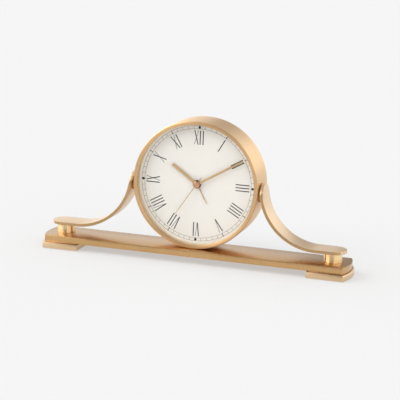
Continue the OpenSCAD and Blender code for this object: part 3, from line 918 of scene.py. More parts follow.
@dataclass
class Stand:
    """The base plate on its two feet.

    Attributes:
        bow: How far the ends bow outwards.
        straight: Where the straight stretch starts, from the centre of the bow.
        foot_bevel: Width of the bevel on the feet.
        gap: Height of the shadow gap between foot and plate.
        set_back: How far the neck in that gap stays behind the plate's edge.
        edge: Width of the plate's broken edges.
        foot_edge: Width of the feet's broken edges.
        sides: Sides of a full circle at the radius of the ends. It leaves no sliver
            at the corners, which would spoil their broken edges.
    """

    bow: float = 4.0
    straight: float = 5.0
    foot_bevel: float = 1.1
    gap: float = 0.7
    set_back: float = 1.0
    edge: float = 0.3
    foot_edge: float = 0.18
    sides: int = 512

    def radius(self) -> float:
        """Gives the radius of the plate's bowed ends."""
        half = box_mm("base_plate")[1].y
        return (half**2 + self.bow**2) / (2 * self.bow)

    def outline(self, name: str, node: str, radius: float, inner: float) -> Workpiece:
        """Cuts the bowed end of a plate from a disc.

        Args:
            name: Name of the piece.
            node: The CAD node that gives its corners.
            radius: Radius of the bowed end.
            inner: Where the end's straight side lies.

        Returns:
            The flat outline, open for editing.
        """
        low, high = box_mm(node)
        centre = (high.x - radius, 0.0, low.z)
        work = Workpiece.disc(name, radius, centre, Facing.UP, self.sides)
        work.edit()
        work.cut((0, high.y, 0), (0, 1, 0))
        work.cut((0, low.y, 0), (0, -1, 0))
        return work.cut((inner, 0, 0), (-1, 0, 0))

    def build_plate(self) -> Workpiece:
        """Models the base plate.

        Returns:
            The finished plate.
        """
        low, high = box_mm("base_plate")
        inner = high.x - self.radius() + self.straight
        work = self.outline("base_plate_brushed", "base_plate", self.radius(), inner)
        work.select(lambda p: abs(p.x - inner) < NEAR, Part.EDGES)
        work.extrude((-inner, 0, 0))
        work.close()
        work.finish("MIRROR", merge_threshold=0.1 * MM)
        work.edit().select_all()
        work.extrude((0, 0, high.z - low.z))
        work.merge()
        return work.close().soften(self.edge).smooth()

    def build_foot(self) -> Workpiece:
        """Models the right foot: a bevel along its bowed end and a shadow gap on top.

        Returns:
            The finished foot.
        """
        low, high = box_mm("right_foot")
        plate = box_mm("base_plate")[1]
        radius = self.radius() + high.x - plate.x
        bow_start = high.x - radius + math.sqrt(radius**2 - high.y**2)
        top = high.z - self.gap
        work = self.outline("right_foot_block", "right_foot", radius, low.x)
        work.select_all().extrude((0, 0, top - low.z))
        work.merge()
        work.select(lambda p: p.z > top - NEAR and p.x > bow_start - NEAR, Part.EDGES)
        bpy.ops.mesh.bevel(offset=self.foot_bevel * MM, segments=1, affect="EDGES")
        work.select(lambda p: p.z > top - NEAR, Part.FACES)
        work.extrude((0, 0, 0))
        middle = (low + high) / 2
        end = high.x - self.foot_bevel
        length = (plate.x - self.set_back - middle.x) / (end - middle.x)
        depth = (plate.y - self.set_back) / high.y
        work.scale((length, depth, 1.0), (middle.x, 0, top))
        work.extrude((0, 0, self.gap))
        work.merge()
        return work.close().soften(self.foot_edge).smooth()

    def build(self, gold: bpy.types.Material, foot_gold: bpy.types.Material) -> None:
        """Models and dresses the base plate and the feet.

        Args:
            gold: The brushed finish of the plate.
            foot_gold: The brushed finish of the feet.
        """
        hand_over(self.build_plate(), gold, "stand", "satin_gold", "base_plate")
        foot = self.build_foot()
        other = foot.mirrored("left_foot_block")
        hand_over(foot, foot_gold, "stand", "satin_gold", "right_foot")
        hand_over(other, foot_gold, "stand", "satin_gold", "left_foot")


@dataclass
class Pillars:
    """The two polished pillars between base and arms.

    Attributes:
        sides: Sides of a pillar.
        edge: Width of the broken rims.
    """

    sides: int = 128
    edge: float = 0.35

    def build(self, mirror: bpy.types.Material) -> None:
        """Models and dresses both pillars.

        Args:
            mirror: The polished brass.
        """
        low, high = box_mm("right_pillar")
        centre = (low + high) / 2
        radius = (high.x - low.x) / 2
        foot = (centre.x, centre.y, low.z)
        work = Workpiece.disc("right_pillar_turned", radius, foot, Facing.UP, self.sides)
        work.edit().select_all().extrude((0, 0, high.z - low.z))
        work.merge()
        work.close().soften(self.edge, segments=3).smooth(angle=40)
        other = work.mirrored("left_pillar_turned")
        hand_over(work, mirror, "stand", "polished_gold", "right_pillar")
        hand_over(other, mirror, "stand", "polished_gold", "left_pillar")


@dataclass
class Arms:
    """The two straps that sweep from the pillars to the drum.

    Attributes:
        thick: Thickness of the strap.
        face: Where the inner face of the upright stretch lies.
        sweep: Radius of the sweep on the side of the drum.
        edge: Width of the broken edges.
        arc_steps: Steps round the quarter sweep.
        tongue_steps: Steps round the rounded end over the pillar.
        upright_steps: Steps of the upright stretch.
        tongue_end: Degrees round a rounded end to its last section.
        least: Least square of the half width, which keeps the upper end's last
            section open.
    """

    thick: float = 3.0
    face: float = 66.0
    sweep: float = 59.0
    edge: float = 0.35
    arc_steps: int = 72
    tongue_steps: int = 16
    upright_steps: int = 4
    tongue_end: float = 87.0
    least: float = 0.3

    def path(self) -> list[tuple[Vector, float, float]]:
        """Works out the sections of the right arm from the tip at the pillar to the top.

        Returns:
            For each section the middle of the strap, its slope in radians and its
            half width.
        """
        half = box_mm("right_arm")[1].y
        pillar_low, pillar_high = box_mm("right_pillar")
        spacer_low, spacer_high = box_mm("right_spacer")
        pillar_x = (pillar_low.x + pillar_high.x) / 2
        flat_z = pillar_high.z + self.thick / 2
        stud_z = (spacer_low.z + spacer_high.z) / 2
        bend_x, bend_z = self.face + self.sweep, pillar_high.z + self.sweep
        middle = self.sweep - self.thick / 2
        last = math.radians(self.tongue_end)
        sections: list[tuple[Vector, float, float]] = []
        for i in range(self.tongue_steps):
            t = last * (1 - i / self.tongue_steps)
            place = Vector((pillar_x + half * math.sin(t), 0, flat_z))
            sections.append((place, 0.0, half * math.cos(t)))
        for x in (pillar_x, bend_x):
            sections.append((Vector((x, 0, flat_z)), 0.0, half))
        for i in range(self.arc_steps):
            a = math.pi / 2 * (i + 1) / self.arc_steps
            place = Vector((bend_x - middle * math.sin(a), 0, bend_z - middle * math.cos(a)))
            sections.append((place, a, half))
        rise = stud_z + half * math.sin(last) - bend_z
        for i in range(self.upright_steps):
            z = bend_z + rise * (i + 1) / self.upright_steps
            place = Vector((self.face + self.thick / 2, 0, z))
            sections.append((place, math.pi / 2, half))
        rounded = []
        for place, slope, width in sections:
            above = place.z - stud_z
            if above > 0:
                width = math.sqrt(max(half**2 - above**2, self.least))
            rounded.append((place, slope, width))
        return rounded

    def build(self, gold: bpy.types.Material, edge_painted_shade: bpy.types.Material) -> None:
        """Models and dresses both arms.

        Args:
            gold: The brushed finish of the arms' faces.
            edge_painted_shade: A darker copy of the faces' finish on their sheared edges: painted
                shade.
        """
        (place, slope, width), *others = self.path()
        section = (2 * width, self.thick)
        work = Workpiece.panel("right_arm_strap", section, tuple(place), Facing.SIDE)
        work.edit().select_all()
        for next_place, next_slope, next_width in others:
            work.extrude(tuple(next_place - place))
            if next_slope != slope:
                centre = [c * MM for c in next_place]
                bpy.ops.transform.rotate(
                    value=slope - next_slope, orient_axis="Y", center_override=centre
                )
            work.scale((1.0, next_width / width, 1.0), tuple(next_place))
            place, slope, width = next_place, next_slope, next_width
        work.merge()
        work.close().soften(self.edge, segments=3).smooth()
        other = work.mirrored("left_arm_strap")
        for arm, node in ((work, "right_arm"), (other, "left_arm")):
            hand_over(arm, gold, "stand", "satin_gold", node)
            # Faces that look front and back get the darker copy: painted shade that outlines the
            # arm.
            paint_faces(arm, edge_painted_shade, lambda face: abs(face.normal.y) > STEEP)


@dataclass
class Drum:
    """The turned case with its lip, the ring round the dial and the glass.

    Attributes:
        sides: Sides of the drum.
        lip: Width of the lip.
        lip_thick: Thickness of the lip.
        wall: Thickness of the wall.
        rounding: Rounding of the front edge.
        rounding_steps: Steps of that rounding.
        lip_rounding: Rounding of the lip's inner edge.
        chamfer: Width of the broken edge at the back.
        ring: Width of the ring.
        rim: Width of the ground rim of the glass.
    """

    sides: int = 256
    lip: float = 4.0
    lip_thick: float = 1.6
    wall: float = 2.0
    rounding: float = 1.2
    rounding_steps: int = 8
    lip_rounding: float = 0.5
    chamfer: float = 0.3
    ring: float = 1.5
    rim: float = 0.2

    def axis_point(self) -> Point:
        """Gives a point on the axis of the drum, on its front face."""
        low, high = box_mm("case_drum")
        return 0.0, low.y, (low.z + high.z) / 2

    def build_case(self) -> Workpiece:
        """Turns the case.

        Returns:
            The finished case.
        """
        low, high = box_mm("case_drum")
        outer = (high.x - low.x) / 2
        front, back = low.y, high.y
        inner, lip_back = outer - self.lip, front + self.lip_thick
        soft = self.lip_rounding
        halfway = 0.3 * soft  # How far the middle of a rounding lies from both its faces.
        profile = [(inner, lip_back), (inner, front + soft)]
        profile += [(inner + halfway, front + halfway), (inner + soft, front)]
        for i in range(self.rounding_steps + 1):
            t = math.pi / 2 * i / self.rounding_steps
            radius = outer - self.rounding + self.rounding * math.sin(t)
            profile.append((radius, front + self.rounding * (1 - math.cos(t))))
        profile += [(outer, back - self.chamfer), (outer - self.chamfer, back)]
        profile += [(outer - self.wall, back), (outer - self.wall, lip_back)]
        work = Workpiece.turned("drum_turned", profile, self.axis_point()[2], self.sides)
        return work.smooth(angle=35)

    def build_ring(self) -> Workpiece:
        """Turns the ring between glass and dial.

        Returns:
            The finished ring.
        """
        low, high = box_mm("dial_ring")
        outer = (high.x - low.x) / 2
        inner = outer - self.ring
        profile = [(inner, low.y), (outer, low.y), (outer, high.y), (inner, high.y)]
        work = Workpiece.turned("dial_ring_turned", profile, self.axis_point()[2], self.sides)
        return work.smooth(angle=35)

    def build_glass(self) -> Workpiece:
        """Cuts the glass with its ground rim.

        Returns:
            The finished glass.
        """
        low, high = box_mm("glass")
        centre = (0.0, low.y, self.axis_point()[2])
        radius = (high.x - low.x) / 2
        work = Workpiece.disc("glass_pane", radius, centre, Facing.FRONT, self.sides)
        work.edit().select_all().extrude((0, high.y - low.y, 0))
        work.merge()
        return work.close().soften(self.rim).smooth()

    def build(
        self,
        gold: bpy.types.Material,
        lip_painted_shade: bpy.types.Material,
        ring_gold: bpy.types.Material,
        glass: bpy.types.Material,
    ) -> None:
        """Models and dresses case, ring and glass.

        Args:
            gold: The brushed finish of the wall.
            lip_painted_shade: A darker copy of the wall's finish on the flat lip: painted shade.
            ring_gold: The finish of the ring behind the glass.
            glass: The glass.
        """
        case = self.build_case()
        hand_over(case, gold, "stand", "satin_gold", "case_drum")
        # Faces that look to the front get the darker copy: painted shade on the lip.
        paint_faces(case, lip_painted_shade, lambda face: face.normal.y < -STEEP)
        hand_over(self.build_ring(), ring_gold, "stand", "ring_gold", "dial_ring")
        hand_over(self.build_glass(), glass, "stand", "glass", "glass")


@dataclass(frozen=True)
class Letter:
    """A letter of the Roman numerals.

    Attributes:
        room: Its width, with the space beside it.
        thick: Where the foot and the head of its thick stroke stand, from its middle.
        thin: The same of its thin stroke, if it has one.
    """

    room: float
    thick: tuple[float, float]
    thin: tuple[float, float] | None = None


LETTERS = {
    "I": Letter(3.0, (0.0, 0.0)),
    "V": Letter(4.7, (0.0, -1.7), (0.2, 1.7)),
    "X": Letter(5.0, (1.9, -1.9), (-1.9, 1.9)),
}


@dataclass
class Dial:
    """The white dial and its printing.

    Attributes:
        sides: Sides of the dial.
        hole: Radius of the hole for the hands.
        foot_radius: Radius at the foot of the numerals.
        head_radius: Radius at the head of the numerals.
        thick: Width of a thick stroke.
        thin: Width of a thin stroke.
        track: Radii of the two lines of the minute track.
        line: Width of those lines.
        minute_tick: Width of the tick at a minute.
        hour_tick: Width of the tick at an hour.
        beyond: How far an hour's tick reaches beyond the track.
        dot_radius: Radius of the dot at a quarter.
        dot_sides: Sides of that dot.
        raised: How much higher than the axis of the hands the printing is centred.
        ink: Thickness of the ink.
    """

    sides: int = 192
    hole: float = 4.1
    foot_radius: float = 39.5
    head_radius: float = 53.6
    thick: float = 1.0
    thin: float = 0.42
    track: tuple[float, float] = (55.35, 58.35)
    line: float = 0.22
    minute_tick: float = 0.24
    hour_tick: float = 0.7
    beyond: float = 0.4
    dot_radius: float = 1.3
    dot_sides: int = 32
    raised: float = 0.4
    ink: float = 0.04

    def centre(self) -> Vector:
        """Gives the middle of the dial's front face."""
        low, high = box_mm("dial")
        return Vector((0.0, low.y, (low.z + high.z) / 2))

    def build_disc(self) -> Workpiece:
        """Cuts the dial.

        Returns:
            The finished dial.
        """
        low, high = box_mm("dial")
        rim = (high.x - low.x) / 2
        profile = [(self.hole, low.y), (rim, low.y), (rim, high.y), (self.hole, high.y)]
        work = Workpiece.turned("dial_plate", profile, self.centre().z, self.sides)
        return work.smooth(angle=35)

    def stroke(self, foot: float, head: float, width: float, hour: int) -> Workpiece:
        """Prints one stroke of a numeral, with its foot towards the middle.

        Args:
            foot: Where its foot stands across the numeral.
            head: Where its head stands.
            width: Its width.
            hour: The hour of its numeral.

        Returns:
            The stroke in its place.
        """
        at = self.centre()
        tall = self.head_radius - self.foot_radius
        middle = at.z + (self.foot_radius + self.head_radius) / 2
        place = (foot, at.y - self.ink, middle)
        work = Workpiece.panel("stroke", (width, tall), place, Facing.FRONT)
        work.edit().select(lambda p: p.z > middle)
        bpy.ops.transform.translate(value=((head - foot) * MM, 0, 0))
        work.close()
        work.piece.data.transform(turn_about(at, hour * HOUR_TURN))
        return work

    def numeral(self, letters: str, hour: int) -> list[Workpiece]:
        """Prints a Roman numeral.

        Args:
            letters: Its letters.
            hour: Its hour.

        Returns:
            Its strokes.
        """
        x = -sum(LETTERS[c].room for c in letters) / 2
        strokes = []
        for letter in (LETTERS[c] for c in letters):
            middle = x + letter.room / 2
            for ends, width in ((letter.thick, self.thick), (letter.thin, self.thin)):
                if ends:
                    strokes.append(self.stroke(middle + ends[0], middle + ends[1], width, hour))
            x += letter.room
        return strokes

    def ring(self, radius: float) -> Workpiece:
        """Prints a line of the minute track.

        Args:
            radius: Its radius.

        Returns:
            The printed ring.
        """
        at = self.centre()
        inner, outer = radius - self.line / 2, radius + self.line / 2
        middle = (0.0, at.y - self.ink, at.z)
        work = Workpiece.disc("track", inner, middle, Facing.FRONT, self.sides, filled=False)
        work.edit().select_all().extrude((0, 0, 0))
        work.scale((outer / inner, 1.0, outer / inner), tuple(at))
        return work.close()

    def ticks(self, width: float, count: int, low: float, high: float) -> Workpiece:
        """Prints ticks all round the minute track.

        Args:
            width: Width of a tick.
            count: Number of ticks.
            low: Radius of its inner end.
            high: Radius of its outer end.

        Returns:
            The printed ticks.
        """
        at = self.centre()
        place = (0.0, at.y - self.ink, at.z + (low + high) / 2)
        work = Workpiece.panel("ticks", (width, high - low), place, Facing.FRONT)
        work.edit().select_all()
        bpy.ops.mesh.spin(
            steps=count, dupli=True, angle=2 * math.pi, center=at * MM, axis=(0, 1, 0)
        )
        # The last copy lands on the first tick.
        work.select_all()
        bpy.ops.mesh.remove_doubles(threshold=0.001 * MM)
        return work.close()

    def dot(self, hour: int) -> Workpiece:
        """Prints the dot at a quarter.

        Args:
            hour: Its hour.

        Returns:
            The printed dot.
        """
        at = self.centre()
        place = (0.0, at.y - self.ink, at.z + sum(self.track) / 2)
        work = Workpiece.disc("dot", self.dot_radius, place, Facing.FRONT, self.dot_sides)
        work.piece.data.transform(turn_about(at, hour * HOUR_TURN))
        return work

    def build_print(self) -> Workpiece:
        """Prints numerals, minute track and dots, and gives the ink its thickness.

        Returns:
            The finished printing.
        """
        numerals = "I II III IIII V VI VII VIII IX X XI XII".split()
        low, high = self.track
        parts: list[Workpiece] = []
        for hour, letters in enumerate(numerals, start=1):
            parts += self.numeral(letters, hour)
        parts += [self.ring(r) for r in self.track]
        parts.append(self.ticks(self.minute_tick, 60, low, high))
        parts.append(self.ticks(self.hour_tick, 12, low - self.beyond, high + self.beyond))
        parts += [self.dot(h) for h in (3, 6, 9, 12)]
        work = join("dial_print", parts)
        work.edit().select_all()
        bpy.ops.transform.translate(value=(0, 0, self.raised * MM))
        work.extrude((0, self.ink, 0))
        work.select_all()
        bpy.ops.mesh.normals_make_consistent(inside=False)
        return work.close()

    def build(self, enamel: bpy.types.Material, ink: bpy.types.Material) -> None:
        """Models and dresses dial and printing.

        Args:
            enamel: The white of the dial.
            ink: The printing ink.
        """
        hand_over(self.build_disc(), enamel, "stand", "dial_white", "dial")
        hand_over(self.build_print(), ink, "stand", "black_plastic")


@dataclass(frozen=True)
class HandShape:
    """One hand, as it is stamped.

    Attributes:
        node: Its CAD node.
        body: The body that it turns with.
        angle: Where it points at rest, in degrees clockwise from twelve.
        length: From the axis to its tip.
        root: Width at the hub.
        tip: Width at the tip.
        hub: Radius of the hub.
        bore: Radius of the hole for its pipe, or 0 for a closed hub.
        tail: Length behind the axis.
    """

    node: str
    body: str
    angle: float
    length: float
    root: float
    tip: float
    hub: float
    bore: float = 0.0
    tail: float = 0.0


@dataclass
class Hands:
    """The four hands and the cap in their middle.

    Attributes:
        thick: Thickness of the blades.
        edge: Width of the broken edges.
        behind: How far a blade's face lies behind its hub's.
        hub_deep: Depth of a hub.
        hub_sides: Sides of a hub.
        recess: How far the face of a bored hub lies behind the hand's front.
        hub_bevel: Width of the bevel on the front of a bored hub.
        back_bevel: Width of the bevel on its back.
        dome: Share of the cap's radius and depth of each step of its dome.
        cap_bevel: Width of the bevel on the back of the cap.
        pinhole: Radius at which the dome starts, too small to show.
        shapes: The hands.
    """

    thick: float = 0.4
    edge: float = 0.08
    behind: float = 0.2
    hub_deep: float = 0.95
    hub_sides: int = 64
    recess: float = 0.05
    hub_bevel: float = 0.12
    back_bevel: float = 0.1
    dome: tuple[tuple[float, float], ...] = ((0.35, 0.03), (0.65, 0.12), (0.88, 0.27), (1.0, 0.5))
    cap_bevel: float = 0.08
    pinhole: float = 0.02
    shapes: tuple[HandShape, ...] = (
        HandShape("alarm_hand", "alarm", 151.0, 22.0, 1.4, 0.7, 3.4, 2.9),
        HandShape("hour_hand", "hour", 304.8, 32.0, 3.2, 3.0, 4.2, 2.2),
        HandShape("minute_hand", "minute", 59.3, 54.5, 2.4, 2.1, 3.6, 1.3),
        HandShape("second_hand", "second", 213.5, 39.0, 0.8, 0.6, 3.3, 0.0, 9.0),
    )

    def blade(self, shape: HandShape, front: float, at: Vector) -> Workpiece:
        """Stamps the blade of a hand.

        Args:
            shape: The hand.
            front: Where its front face lies.
            at: The axis of the hands.

        Returns:
            The blade, which points to twelve.
        """
        size = (shape.root, shape.length + shape.tail)
        middle = at.z + (shape.length - shape.tail) / 2
        work = Workpiece.panel(shape.node, size, (0.0, front, middle), Facing.FRONT)
        work.edit().select(lambda p: p.z > middle)
        work.scale((shape.tip / shape.root, 1.0, 1.0), (0.0, front, at.z))
        work.select_all().extrude((0, self.thick, 0))
        work.merge()
        return work.close().soften(self.edge)

    def hub(self, shape: HandShape, low: float, high: float, at: Vector) -> Workpiece:
        """Turns the hub of a hand, domed where it closes the stack.

        Args:
            shape: The hand.
            low: Where its front face lies.
            high: Where its back face lies.
            at: The axis of the hands.

        Returns:
            The hub.
        """
        r = shape.hub
        if shape.bore:
            hole, bevel = shape.bore, self.back_bevel
            front = low + self.recess
            profile = [(hole, front), (r - self.hub_bevel, front), (r, front + self.hub_bevel)]
        else:
            hole, bevel = self.pinhole, self.cap_bevel
            profile = [(hole, low), *((r * share, low + depth) for share, depth in self.dome)]
        profile += [(r, high - bevel), (r - bevel, high), (hole, high)]
        return Workpiece.turned(shape.node + "_hub", profile, at.z, self.hub_sides)

    def build(
        self,
        gold: bpy.types.Material,
        cap_gold: bpy.types.Material,
        hub_shade: bpy.types.Material,
    ) -> None:
        """Models and dresses the hands.

        Args:
            gold: The satin plating of the blades.
            cap_gold: The polished finish of the cap.
            hub_shade: A darker copy of the hub metal on the hubs under the cap: painted shade.
        """
        low, high = box_mm("dial")
        at = Vector((0.0, low.y, (low.z + high.z) / 2))
        for shape in self.shapes:
            front, back = (corner.y for corner in box_mm(shape.node))
            blade = self.blade(shape, front + self.behind, at)
            hub = self.hub(shape, front, min(back, front + self.hub_deep), at)
            work = join(shape.node + "_stamped", [blade, hub])
            work.piece.data.transform(turn_about(at, shape.angle))
            work.smooth(angle=35)
            hand_over(work, gold, shape.body, "hand_gold", shape.node)
            # Hubs under the cap get a darker copy of the metal: painted shade for their dark rims.
            paint_faces(
                work, hub_shade if shape.bore else cap_gold, lambda face: self.on_hub(face, shape, at)
            )

    @staticmethod
    def on_hub(face: bpy.types.MeshPolygon, shape: HandShape, at: Vector) -> bool:
        """Says whether a face of a hand lies within its hub.

        Args:
            face: The face.
            shape: The hand.
            at: The axis of the hands.

        Returns:
            True if its middle does.
        """
        middle = face.center / MM - at
        return math.hypot(middle.x, middle.z) < shape.hub + NEAR


@dataclass(frozen=True)
class MouldedPart:
    """A part whose CAD shape is kept and gets its broken edges.

    Attributes:
        node: Its CAD node.
        body: The body that it rides on.
        slot: The record's material slot.
        edge: Width of the broken edges.
    """

    node: str
    body: str
    slot: str
    edge: float


@dataclass
class Fittings:
    """Small parts that show: spacers, pads, rear cover, case of the movement and knobs.

    Attributes:
        weld: How near two points lie that are welded.
        level: Angle in degrees under which two faces count as one.
        parts: The parts.
    """

    weld: float = 0.002
    level: float = 0.5
    parts: tuple[MouldedPart, ...] = (
        MouldedPart("left_spacer", "stand", "satin_gold", 0.25),
        MouldedPart("right_spacer", "stand", "satin_gold", 0.25),
        MouldedPart("foot_pads", "stand", "rubber", 0.3),
        MouldedPart("rear_cover", "stand", "black_plastic", 0.3),
        MouldedPart("rear_cover_screws", "stand", "steel", 0.2),
        MouldedPart("movement_back", "stand", "housing_plastic", 0.25),
        MouldedPart("battery_cover", "cell_cover", "housing_plastic", 0.2),
        MouldedPart("alarm_switch", "switch", "black_plastic", 0.15),
        MouldedPart("time_knob", "time_setting", "black_plastic", 0.15),
        MouldedPart("alarm_knob", "alarm_setting", "black_plastic", 0.15),
    )

    def build(self, made: dict[str, bpy.types.Material]) -> None:
        """Copies, finishes and dresses the parts.

        Args:
            made: The finishes by name.
        """
        for part in self.parts:
            Workpiece.clear_bench()
            source = frame["nodes"][part.node]
            source.select_set(True)
            bpy.context.view_layer.objects.active = source
            bpy.ops.object.duplicate()
            bpy.ops.object.parent_clear(type="CLEAR_KEEP_TRANSFORM")
            # The copy is a piece of its own, so it drops the CAD node's labels.
            for key in list(bpy.context.object.keys()):
                del bpy.context.object[key]
            work = Workpiece(part.node + "_moulded")
            work.edit().merge(self.weld)
            bpy.ops.mesh.dissolve_limited(angle_limit=math.radians(self.level))
            work.close().soften(part.edge).smooth(angle=40)
            hand_over(work, made[part.slot], part.body, part.slot, part.node)


@dataclass(frozen=True)
class Panel:
    """A soft panel of the studio, seen from the clock.

    Attributes:
        turn: Its left and right edges, in degrees to the right of the clock's front.
        rise: Its lower and upper edges, in degrees above the level.
        level: How bright it is, where 1 is white.
        soft: Width of its soft edge, in degrees.
    """

    turn: tuple[float, float]
    rise: tuple[float, float]
    level: float
    soft: float = 8.0


AWAY = 400.0  # Degrees beyond any turn or rise, so that an edge there never shows.
ROUND = (-AWAY, AWAY)


@dataclass
class Studio:
    """Floor, light and camera.

    Attributes:
        floor: Finish of the floor.
        floor_size: Size of the floor, in metres.
        turn: Camera's turn to the right of the clock's front, in degrees.
        rise: Camera's rise above the level, in degrees.
        roll: How far the picture is turned clockwise, in degrees.
        distance: Distance of the camera from its target, in millimetres.
        target: The point in the middle of the picture, in millimetres.
        sensor: Width of the sensor, in millimetres.
        picture: Pixels across the picture, at one pixel a millimetre at the target.
        reach: How far the camera sees, in metres.
        horizon: Brightness all round at the level of the floor.
        panels: Panels of light and shade round the clock, later ones over earlier ones:
            the sky in two steps, the light walls and the dark strip behind the clock,
            the big lamp on the upper left, the top light, the dark ceiling, the soft
            boxes on the left and right, and the dark place of the camera between them.
    """

    floor: Finish = StudioFloor("plain_floor", "#DCDCDC", "#F6F6F6", 0.5)
    floor_size: float = 24.0
    turn: float = 16.65
    rise: float = 12.19
    roll: float = 2.37
    distance: float = 1620.0
    target: Point = (1.81, 0.0, 61.39)
    sensor: float = 36.0
    picture: float = 400.0
    reach: float = 30.0
    horizon: float = 0.92
    panels: tuple[Panel, ...] = (
        Panel(ROUND, (6, AWAY), 0.5),
        Panel(ROUND, (22, AWAY), 0.8),
        Panel((120, AWAY), (4, 36), 1.15, 12),
        Panel((-AWAY, -120), (4, 36), 0.95, 12),
        Panel((173, AWAY), (4, 32), 0.35),
        Panel((-AWAY, -168), (4, 32), 0.35),
        Panel((-90, -10), (16, 60), 3.3, 12),
        Panel((-28, 26), (42, 66), 1.3, 10),
        Panel(ROUND, (66, AWAY), 0.4),
        Panel((-120, -54), (8, 45), 3.2),
        Panel((26, 128), (8, 45), 1.75),
        Panel((-28, 22), (8, 36), 0.1),
    )

    def place_camera(self) -> None:
        """Sets the camera at the photograph's angle."""
        a, e, r = (math.radians(v) for v in (self.turn, self.rise, self.roll))
        back = Vector((math.sin(a) * math.cos(e), -math.cos(a) * math.cos(e), math.sin(e)))
        right = Vector((math.cos(a), math.sin(a), 0.0))
        up = back.cross(right)
        rolled_right = right * math.cos(r) + up * math.sin(r)
        rolled_up = up * math.cos(r) - right * math.sin(r)
        data = bpy.data.cameras.new("camera")
        data.sensor_width = self.sensor
        data.lens = self.distance * self.sensor / self.picture
        data.clip_end = self.reach
        camera = bpy.data.objects.new("camera", data)
        bpy.context.scene.collection.objects.link(camera)
        place = (Vector(self.target) + back * self.distance) * MM
        turned = Matrix((rolled_right, rolled_up, back)).transposed().to_4x4()
        camera.matrix_world = Matrix.Translation(place) @ turned
        bpy.context.scene.camera = camera

    def lay_floor(self) -> None:
        """Lays the plain pale floor."""
        Workpiece.clear_bench()
        bpy.ops.mesh.primitive_plane_add(size=self.floor_size, location=(0, 0, 0))
        floor = bpy.context.object
        floor.name = "floor"
        floor.data.materials.append(self.floor.material())

    def cover(self, tree: bpy.types.NodeTree, panel: Panel, turn: Any, rise: Any) -> Any:
        """Works out how much a panel covers each direction.

        Args:
            tree: The node tree of the world.
            panel: The panel.
            turn: Socket of the turn to the right, in radians.
            rise: Socket of the rise above the level, in radians.

        Returns:
            Socket of its share, from 0 to 1.
        """
        share: Any = 1.0
        for angle, (low, high) in ((turn, panel.turn), (rise, panel.rise)):
            for edge, way in ((low, 1), (high, -1)):
                start, end = edge - way * panel.soft / 2, edge + way * panel.soft / 2
                ends = {"From Min": math.radians(start), "From Max": math.radians(end)}
                inside = add_node(
                    tree, "MapRange", {"Value": angle, **ends}, interpolation_type="SMOOTHSTEP"
                )
                both = {0: share, 1: inside.outputs["Result"]}
                share = add_node(tree, "Math", both, operation="MULTIPLY").outputs[0]
        return share

    def light(self) -> None:
        """Surrounds the clock with the soft light of a studio."""
        world = bpy.data.worlds.new("studio")
        bpy.context.scene.world = world
        world.use_nodes = True
        tree = world.node_tree
        tree.nodes.clear()
        way = add_node(tree, "SeparateXYZ", {0: add_node(tree, "TexCoord").outputs["Generated"]})
        front = add_node(tree, "Math", {0: way.outputs["Y"], 1: -1.0}, operation="MULTIPLY")
        sides = {0: way.outputs["X"], 1: front.outputs[0]}
        turn = add_node(tree, "Math", sides, operation="ARCTAN2").outputs[0]
        rise = add_node(tree, "Math", {0: way.outputs["Z"]}, operation="ARCSINE").outputs[0]
        level: Any = self.horizon
        for panel in self.panels:
            mixed = {0: self.cover(tree, panel, turn, rise), 2: level, 3: panel.level}
            level = add_node(tree, "Mix", mixed, data_type="FLOAT").outputs[0]
        sky = add_node(tree, "Background", {"Color": (1.0, 1.0, 1.0, 1.0), "Strength": level})
        add_node(tree, "OutputWorld", {"Surface": sky.outputs[0]})

    def build(self) -> None:
        """Builds floor, light and camera."""
        self.place_camera()
        self.lay_floor()
        self.light()
        bpy.context.scene.view_settings.view_transform = "Standard"


